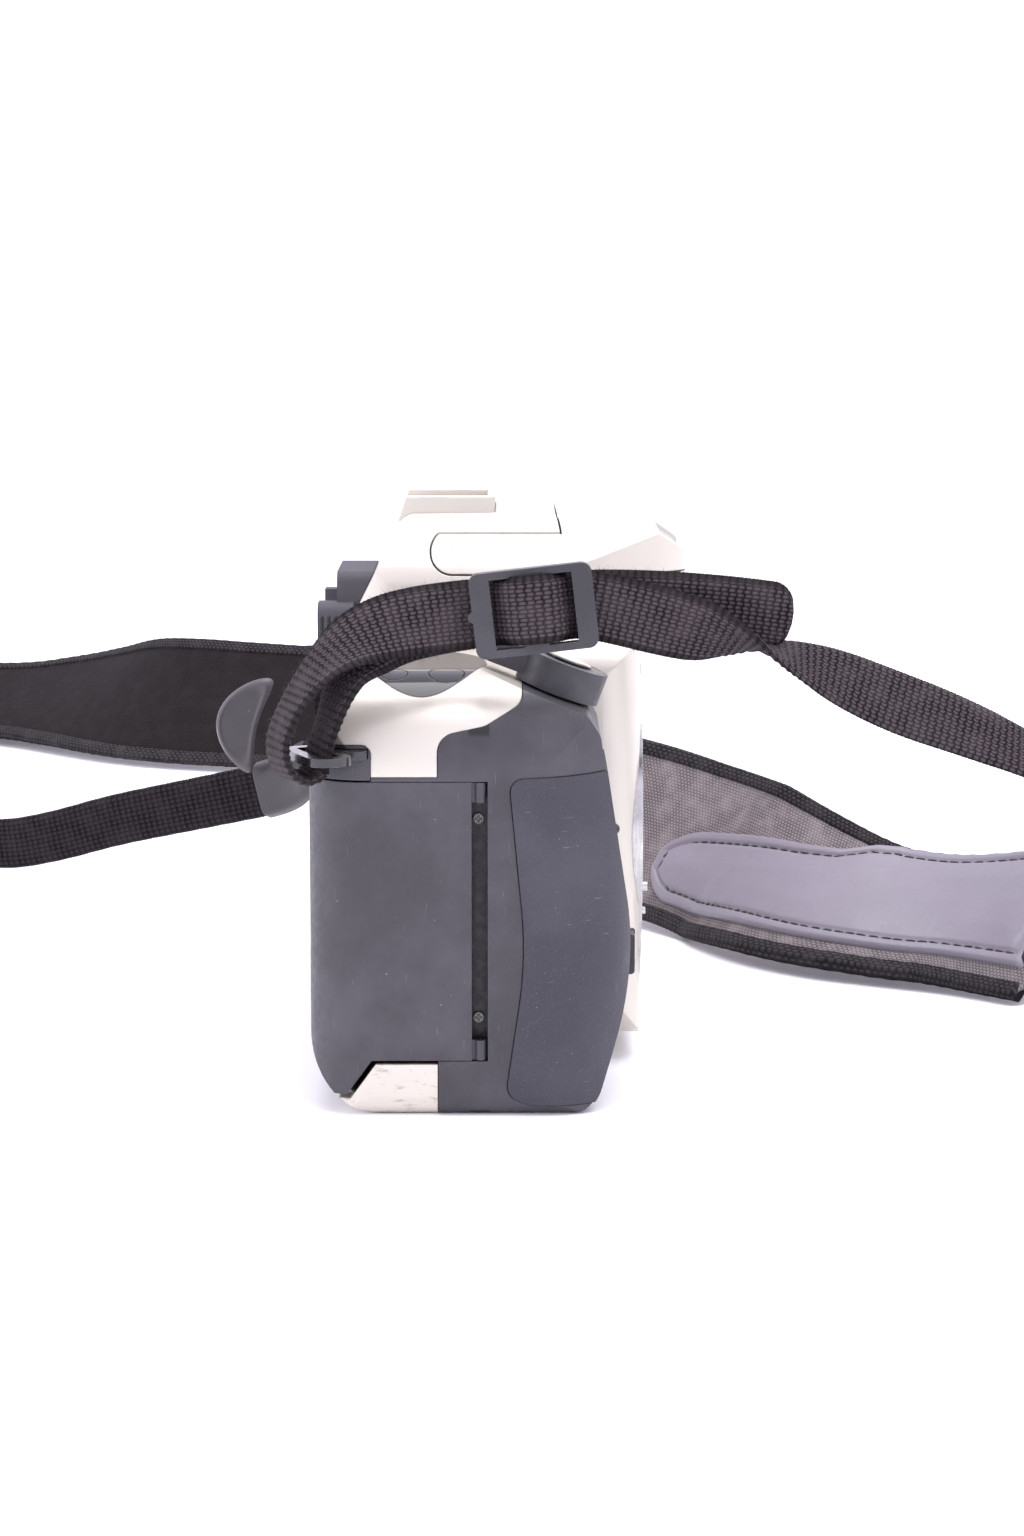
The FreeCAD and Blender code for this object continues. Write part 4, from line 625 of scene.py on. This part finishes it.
# ---------------------------------------------------------------- straps
webbing_half = 0.0050
webbing_thick = 0.00062     # half of it
webbing_rib = 0.00013
webbing_pitch = 0.00115
webbing_loop = 0.00016
webbing_step = 0.00023      # about five sections to a rib
far_step = 0.0004
band_step = 0.0009
lug_across = (0.92, 0.39, 0.0)
grip_strap_route = [
    ((-0.0700, 0.0288, 0.0530), lug_across),
    ((-0.0706, 0.0306, 0.0512), lug_across),
    ((-0.0716, 0.0338, 0.0530), lug_across),
    ((-0.0718, 0.0346, 0.0572), (0.93, 0.36, 0.05)),
    ((-0.0714, 0.0326, 0.0622), (0.95, 0.30, 0.10)),
    ((-0.0703, 0.0299, 0.0662), (0.92, 0.32, 0.22)),
    ((-0.0693, 0.0266, 0.0697), (0.84, 0.34, 0.42)),
    ((-0.0680, 0.0228, 0.0722), (0.62, 0.38, 0.68)),
    ((-0.0668, 0.0181, 0.0738), (0.36, 0.26, 0.90)),
    ((-0.0654, 0.0130, 0.0746), (0.18, 0.10, 0.98)),
    ((-0.0640, 0.0090, 0.0750), (0.06, 0.08, 1.0)),
    ((-0.0634, 0.0050, 0.0754), (0.0, 0.10, 1.0)),
    ((-0.0636, 0.0022, 0.0757), (0.0, 0.10, 1.0)),
    ((-0.0676, -0.0005, 0.0760), (0.0, 0.11, 1.0)),
    ((-0.0680, -0.0032, 0.0763), (0.0, 0.11, 1.0)),
    ((-0.0676, -0.0060, 0.0765), (0.0, 0.11, 1.0)),
    ((-0.0636, -0.0086, 0.0767), (0.0, 0.10, 1.0)),
    ((-0.0634, -0.0115, 0.0766), (0.0, 0.06, 1.0)),
    ((-0.0634, -0.0160, 0.0757), (0.0, 0.02, 1.0)),
    ((-0.0632, -0.0210, 0.0744), (-0.04, 0.0, 1.0)),
    ((-0.0627, -0.0275, 0.0727), (-0.28, 0.0, 0.96)),
    ((-0.0618, -0.0340, 0.0708), (-0.85, -0.05, 0.5)),
    ((-0.0608, -0.0404, 0.0690), (-0.90, -0.16, -0.4)),
    ((-0.0592, -0.0483, 0.0655), (-0.5, -0.28, -0.85)),
    ((-0.0577, -0.0578, 0.0612), (-0.35, -0.3, -0.92)),
    ((-0.0563, -0.0672, 0.0577), (-0.45, -0.3, -0.86)),
    ((-0.0548, -0.0775, 0.0533), (-0.62, -0.3, -0.75)),
    ((-0.0510, -0.0880, 0.0480), (-0.66, -0.25, -0.7)),
    ((-0.0430, -0.0985, 0.0415), (-0.6, -0.2, -0.75)),
    ((-0.0315, -0.1060, 0.0345), (-0.4, -0.1, -0.9)),
    ((-0.0190, -0.1095, 0.0275), (-0.25, 0.0, -0.97)),
    ((-0.0060, -0.1085, 0.0225), (-0.2, 0.0, -0.98)),
    ((0.0060, -0.1040, 0.0190), (-0.2, 0.1, -0.98)),
    ((0.0160, -0.0970, 0.0170), (-0.25, 0.15, -0.95)),
]
grip_strap_places = stations(grip_strap_route, webbing_step)
grip_strap = strap("grip_strap_webbing", grip_strap_places, webbing_half, webbing_thick,
                   webbing_cloth, webbing_rib, webbing_pitch, webbing_loop)
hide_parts("grip_strap")

# the free end: from the lug, behind the first strand, through the buckle and out in front
tail_route = [
    ((-0.0700, 0.0288, 0.0530), lug_across),
    ((-0.0699, 0.0284, 0.0556), lug_across),
    ((-0.0697, 0.0272, 0.0595), (0.93, 0.34, 0.10)),
    ((-0.0693, 0.0256, 0.0640), (0.88, 0.34, 0.30)),
    ((-0.0682, 0.0238, 0.0682), (0.66, 0.36, 0.62)),
    ((-0.0667, 0.0208, 0.0712), (0.38, 0.32, 0.86)),
    ((-0.0651, 0.0170, 0.0731), (0.20, 0.18, 0.96)),
    ((-0.0636, 0.0118, 0.0742), (0.12, 0.06, 0.98)),
    ((-0.0621, 0.0060, 0.0750), (0.04, 0.08, 1.0)),
    ((-0.0617, -0.0031, 0.0762), (0.0, 0.10, 1.0)),
    ((-0.0614, -0.0127, 0.0766), (0.0, 0.05, 1.0)),
    ((-0.0611, -0.0210, 0.0764), (0.0, 0.05, 1.0)),
    ((-0.0604, -0.0290, 0.0758), (-0.02, 0.05, 1.0)),
    ((-0.0595, -0.0360, 0.0750), (-0.03, 0.08, 1.0)),
    ((-0.0586, -0.0418, 0.0741), (-0.03, 0.1, 1.0)),
]
tail_places = stations(tail_route, webbing_step)
tail = strap("strap_tail", tail_places, webbing_half, webbing_thick, webbing_cloth,
             webbing_rib, webbing_pitch, webbing_loop, ends=(0.0, 0.0035))
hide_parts("grip_strap")

far_strap_route = [
    ((0.0698, 0.0288, 0.0530), (0.92, -0.39, 0.0)),
    ((0.0706, 0.0310, 0.0512), (0.92, -0.39, 0.0)),
    ((0.0722, 0.0338, 0.0488), (0.90, -0.42, 0.1)),
    ((0.0770, 0.0345, 0.0440), (0.80, -0.40, 0.45)),
    ((0.0835, 0.0355, 0.0375), (0.5, -0.3, 0.8)),
    ((0.0895, 0.0380, 0.0310), (0.3, -0.1, 0.93)),
    ((0.0950, 0.0428, 0.0253), (0.10, 0.22, 0.97)),
    ((0.1040, 0.0553, 0.0214), (0.08, 0.20, 0.98)),
    ((0.1130, 0.0679, 0.0176), (0.08, 0.20, 0.98)),
    ((0.1220, 0.0804, 0.0138), (0.08, 0.20, 0.98)),
    ((0.1310, 0.0930, 0.0090), (0.08, 0.16, 0.98)),
    ((0.1400, 0.1056, 0.0055), (0.06, 0.10, 0.99)),
    ((0.1540, 0.1230, 0.0054), (0.03, 0.03, 1.0)),
    ((0.1740, 0.1440, 0.0060), (0.0, 0.0, 1.0)),
    ((0.1970, 0.1630, 0.0066), (0.0, 0.05, 1.0)),
    ((0.2235, 0.1795, 0.0084), (0.0, 0.1, 1.0)),
    ((0.2505, 0.1915, 0.0112), (0.0, 0.12, 0.98)),
    ((0.2795, 0.1985, 0.0140), (0.0, 0.12, 0.98)),
    ((0.3080, 0.1990, 0.0170), (0.0, 0.1, 1.0)),
]
far_strap_places = stations(far_strap_route, far_step)
far_strap = strap("far_strap_webbing", far_strap_places, webbing_half, webbing_thick,
                  far_webbing_cloth, rib=0.00018, pitch=0.0015, wave=0.00020)
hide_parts("far_strap")

band_half = 0.0170
band_thick = 0.0010         # half of it
binding_half = 0.0016
binding_inset = 0.0012      # from the band's edge to the middle of its binding
upright = (0.0, 0.0, 1.0)
neck_band_route = [
    ((0.0160, -0.0970, 0.0135), (0.78, -0.20, 0.60)),
    ((0.0255, -0.0895, 0.0122), (0.82, -0.22, 0.50)),
    ((0.0335, -0.0810, 0.0108), (0.84, -0.22, 0.44)),
    ((0.0385, -0.0720, 0.0102), (0.85, -0.24, 0.44)),
    ((0.0465, -0.0584, 0.0112), (0.88, -0.12, 0.46)),
    ((0.0630, -0.0459, 0.0137), (0.86, -0.05, 0.52)),
    ((0.0800, -0.0380, 0.0150), (0.80, -0.04, 0.60)),
    ((0.0950, -0.0262, 0.0163), (0.65, -0.02, 0.77)),
    ((0.1120, -0.0120, 0.0170), (0.30, 0.0, 0.95)),
    ((0.1340, 0.0010, 0.0184), (0.08, 0.0, 1.0)),
    ((0.1610, 0.0120, 0.0186), upright),
    ((0.1890, 0.0200, 0.0186), upright),
    ((0.2180, 0.0270, 0.0186), (0.08, 0.0, 1.0)),
    ((0.2460, 0.0335, 0.0182), (0.3, 0.0, 0.95)),
    ((0.2690, 0.0390, 0.0168), (0.55, 0.0, 0.84)),
    ((0.2830, 0.0475, 0.0152), (0.66, 0.03, 0.75)),
    ((0.2870, 0.0620, 0.0154), (0.63, 0.04, 0.78)),
    ((0.2910, 0.0771, 0.0158), (0.61, 0.04, 0.79)),
    ((0.2970, 0.0890, 0.0158), (0.64, -0.10, 0.76)),
    ((0.3060, 0.0980, 0.0152), (0.68, -0.25, 0.69)),
    ((0.3180, 0.1070, 0.0138), (0.72, -0.38, 0.58)),
    ((0.3320, 0.1180, 0.0118), (0.80, -0.36, 0.47)),
    ((0.3440, 0.1350, 0.0096), (0.93, -0.12, 0.33)),
    ((0.3520, 0.1600, 0.0100), (0.90, 0.2, 0.35)),
    ((0.3420, 0.1840, 0.0150), (0.4, 0.4, 0.8)),
    ((0.3080, 0.1985, 0.0186), (0.0, 0.15, 1.0)),
]
band_places = stations(neck_band_route, band_step)
neck_band = strap("neck_band_cloth", band_places, band_half, band_thick, band_cloth,
                  pitch=0.0014, ends=(0.006, 0.006), columns=24)
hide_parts("neck_band")


def band_binding(name, side):
    """A bound edge: a folded tape sewn over the band's rim."""
    tape = []
    for point, tangent, width, normal, run in band_places[4:-4]:
        middle = point + width * side * (band_half - binding_inset)
        tape.append((middle, tangent, width, normal, run))
    return strap(name, tape, binding_half, 0.0014, binding, rib=0.00008, pitch=0.0012,
                 wave=0.00008, columns=8)


bindings = [band_binding("band_edge_upper", 1.0), band_binding("band_edge_lower", -1.0)]


def steady(table, x):
    """The value at x of a line through the table's (x, value) points."""
    for (x0, y0), (x1, y1) in zip(table, table[1:]):
        if x <= x1:
            return y0 + (y1 - y0) * max(0.0, x - x0) / (x1 - x0)
    return table[-1][1]


def nearest(places, target):
    """The index of the place nearest to a point."""
    return min(range(len(places)), key=lambda k: (places[k][0] - Vector(target)).length)


# the vinyl pad on the band: its upper and lower edges against distance from its round end
pad_end = nearest(band_places, (0.0900, -0.0312, 0.0148))
pad_upper = [(0.0, 0.0005), (0.010, 0.0030), (0.025, 0.0062), (0.036, 0.0086), (0.044, 0.0110),
             (0.050, 0.0150), (0.056, 0.0166), (0.2, 0.0166)]
pad_lower = [(0.0, -0.0115), (0.010, -0.0132), (0.036, -0.0124), (0.076, -0.0116),
             (0.2, -0.0116)]
pad_round = 0.0085          # length over which its end is rounded
pad_middle = -0.0050        # where its end's outermost point is across the band
pad_length = 0.096
pad_rim = 0.0009            # width of its rolled edge
seam_inset = 0.0025         # from its edge to the stitches
stitch_pitch = 0.0021
stitch_length = 0.0019
stitch_radius = 0.00023


def pad_edges(gone, inset=0.0):
    """The pad's lower and upper edges at a distance gone from its round end."""
    upper = steady(pad_upper, gone) - inset
    lower = steady(pad_lower, gone) + inset
    if gone - inset < pad_round:
        share = max(0.0, gone - inset) / pad_round
        bulge = math.sqrt(max(0.0, 1.0 - (1.0 - share) ** 2))
        upper = pad_middle + (upper - pad_middle) * bulge
        lower = pad_middle + (lower - pad_middle) * bulge
    return lower, upper


def pad_lift(from_edge):
    """Height of the pad over the middle of the band, rising from its rim."""
    rim = min(max(from_edge / pad_rim, 0.0), 1.0)
    roll = 0.0011 * math.sqrt(1.0 - (1.0 - rim) ** 2)
    groove = 0.00055 * math.exp(-((from_edge - seam_inset) / 0.00040) ** 2)
    swell = 0.0005 * min(max((from_edge - 0.0028) / 0.005, 0.0), 1.0)
    return 0.0009 + roll - groove + swell


def vinyl_pad():
    """The padded vinyl patch on the band's outer face, drawn close at its rim."""
    vertices = []
    uvs = []
    faces = []
    columns = 56
    first_row = 5
    rows = band_places[first_row:pad_end + 1]
    for point, tangent, width, normal, run in rows:
        gone = max(band_places[pad_end][4] - run, 0.00002)
        lower, upper = pad_edges(gone)
        for k in range(columns + 1):
            across = lower + (upper - lower) * (0.5 - 0.5 * math.cos(math.pi * k / columns))
            rim = min(across - lower, upper - across, gone)
            rim = min(rim, run - rows[0][4])
            vertices.append(point + width * across + normal * pad_lift(rim))
            uvs.append((run, across))
    across_count = columns + 1
    for i in range(len(rows) - 1):
        for k in range(columns):
            corner = i * across_count + k
            faces.append((corner, corner + across_count, corner + across_count + 1, corner + 1))
    return new_piece("vinyl_pad", vertices, faces, pad_vinyl, uvs)


def stitches(name, spots, material):
    """Short threads, one at each spot: (middle, direction, up)."""
    sides = 6
    profile = ((-0.5, 0.25), (-0.3, 0.85), (0.0, 1.0), (0.3, 0.85), (0.5, 0.25))
    vertices = []
    faces = []
    for middle, ahead, up in spots:
        side = up.cross(ahead).normalized()
        base = len(vertices)
        for share, size in profile:
            for k in range(sides):
                turn = 2.0 * math.pi * k / sides
                out = (side * math.cos(turn) + up * math.sin(turn)) * stitch_radius * size
                vertices.append(middle + ahead * share * stitch_length + out)
        for ring in range(len(profile) - 1):
            corner = base + ring * sides
            for k in range(sides):
                following = (k + 1) % sides
                faces.append((corner + k, corner + following,
                              corner + sides + following, corner + sides + k))
        faces.append(tuple(base + k for k in range(sides - 1, -1, -1)))
        last = base + (len(profile) - 1) * sides
        faces.append(tuple(last + k for k in range(sides)))
    return new_piece(name, vertices, faces, material)


def pad_spots():
    """Where the pad's stitches go: along both edges and round its end."""
    ring = []
    gone = pad_length
    outline = []
    while gone > seam_inset:
        outline.append((gone, pad_edges(gone, seam_inset)[1]))
        gone -= 0.0004
    outline += [(g, pad_edges(g, seam_inset)[0]) for g, v in reversed(outline)]
    end_run = band_places[pad_end][4]
    step = band_places[1][4]
    for gone, across in outline:
        point, tangent, width, normal, run = band_places[round((end_run - gone) / step)]
        shift = tangent * (end_run - gone - run)
        on_pad = point + shift + width * across + normal * 0.00165
        ring.append((on_pad, normal))
    spots = []
    since = 0.0
    for (before, up), (after, next_up) in zip(ring, ring[1:]):
        since += (after - before).length
        if since > stitch_pitch:
            spots.append((after, (after - before).normalized(), up))
            since = 0.0
    return spots


pad = vinyl_pad()
pad_seam = stitches("vinyl_pad_stitches", pad_spots(), black_thread)
tab_half = 0.0118
tab_thick = 0.0022          # half of it
front_tab = strap("band_tab_front", band_places[0:7], tab_half, tab_thick, keeper_vinyl,
                  ends=(0.003, 0.0))
rear_tab = strap("band_tab_rear", band_places[-14:], tab_half, tab_thick, keeper_vinyl,
                 ends=(0.0, 0.004))

# the keeper on the far strap, and the leather tab that stands up from it
keeper_start = nearest(far_strap_places, (0.0905, 0.0390, 0.0295))
keeper_stop = nearest(far_strap_places, (0.0995, 0.0486, 0.0236))
keeper = strap("far_keeper", far_strap_places[keeper_start:keeper_stop],
               half_width=0.0056, half_thick=0.0021, material=keeper_vinyl)


def leather_tab():
    """A slim leather leaf with a raised rim, standing up from the far strap.

    Its tips bow forwards; UV u runs from its middle to its rim.
    """
    middle = Vector((0.0955, 0.0513, 0.0370))
    half_width = 0.0040
    upper_reach = 0.0098
    lower_reach = 0.0092
    lean = math.radians(14.0)
    half_thick = 0.0007
    rim_height = 0.00035
    rings = 14
    around = 64
    vertices = []
    uvs = []
    faces = []
    for side in (-1.0, 1.0):
        for ring in range(rings + 1):
            share = ring / rings
            for k in range(around):
                turn = 2.0 * math.pi * k / around
                reach = math.sin(turn) * share
                bow = 0.0018 - 0.0042 * reach * reach
                across = math.cos(turn) * share * half_width + bow
                up = reach * (upper_reach if reach > 0.0 else lower_reach)
                rim = math.exp(-((share - 0.86) / 0.07) ** 2)
                closed = math.sqrt(max(0.0, 1.0 - share ** 12))
                thick = half_thick * closed + rim_height * rim
                cupped = 3.2 * across * across + 0.10 * across
                vertices.append(middle + Vector((
                    cupped + side * thick,
                    across * math.cos(lean) - up * math.sin(lean),
                    across * math.sin(lean) + up * math.cos(lean))))
                uvs.append((share, k / around))
    layer = (rings + 1) * around
    for side in range(2):
        for ring in range(rings):
            for k in range(around):
                following = (k + 1) % around
                corner = side * layer + ring * around
                faces.append((corner + k, corner + following, corner + around + following,
                              corner + around + k))
    for k in range(around):
        following = (k + 1) % around
        faces.append((rings * around + k, rings * around + following,
                      layer + rings * around + following, layer + rings * around + k))
    return new_piece("leather_tab", vertices, faces, tab_vinyl, uvs)


tab = leather_tab()


def fuzz_on(name, places, count, reach):
    """Loose fibres that stand out of a strap's edges and faces."""
    fibre_half = 0.000022
    vertices = []
    faces = []
    for i in range(count):
        point, tangent, width, normal, run = places[chance.randrange(4, len(places) - 4)]
        side = chance.choice((-1.0, 1.0))
        if chance.random() < 0.7:
            root = point + width * side * webbing_half
            root = root + normal * chance.uniform(-0.0005, 0.0005)
            out = width * side
        else:
            root = point + width * chance.uniform(-0.0048, 0.0048) + normal * side * 0.0006
            out = normal * side
        out = (out + tangent * chance.uniform(-1.2, 1.2) + normal * chance.uniform(-0.6, 0.6)
               + width * chance.uniform(-0.4, 0.4)).normalized()
        bend = Vector([chance.uniform(-0.5, 0.5) for k in range(3)])
        length = chance.uniform(0.3, 1.0) * reach
        across = out.cross(bend).normalized() * fibre_half
        base = len(vertices)
        for share in (0.0, 0.35, 0.7, 1.0):
            spot = root + out * length * share + bend * length * 0.7 * share * share
            vertices.append(spot - across * (1.0 - share * 0.7))
            vertices.append(spot + across * (1.0 - share * 0.7))
        for k in range(3):
            faces.append((base + 2 * k, base + 2 * k + 1, base + 2 * k + 3, base + 2 * k + 2))
    return new_piece(name, vertices, faces, black_thread)


fuzz = fuzz_on("webbing_fuzz", grip_strap_places, 1500, 0.0011)
tail_fuzz = fuzz_on("tail_fuzz", tail_places, 600, 0.0009)

# ---------------------------------------------------------------- the buckle's finish
buckle = nodes["strap_buckle"]
buckle.data.materials.clear()
buckle.data.materials.append(buckle_black)

# ---------------------------------------------------------------- stage
floor_mesh = bpy.data.meshes.new("floor")
floor_corners = [(-6, -6, 0), (6, -6, 0), (6, 6, 0), (-6, 6, 0)]
floor_mesh.from_pydata(floor_corners, [], [(0, 1, 2, 3)])
floor = bpy.data.objects.new("floor", floor_mesh)
scene.collection.objects.link(floor)
paper = Surface("paper_floor")
paper.set(Specular_IOR_Level=0.1)
paper_white = paper.mixed(paper.noise(3.0), (0.955, 0.955, 0.965), (0.97, 0.97, 0.975))
paper_rough = paper.band(paper.noise(40.0), 0.3, 0.7, 0.85, 0.95)
paper_fibre = paper.bump(paper.noise(900.0), 0.00003)
floor_mesh.materials.append(paper.finish(paper_white, paper_rough, paper_fibre))
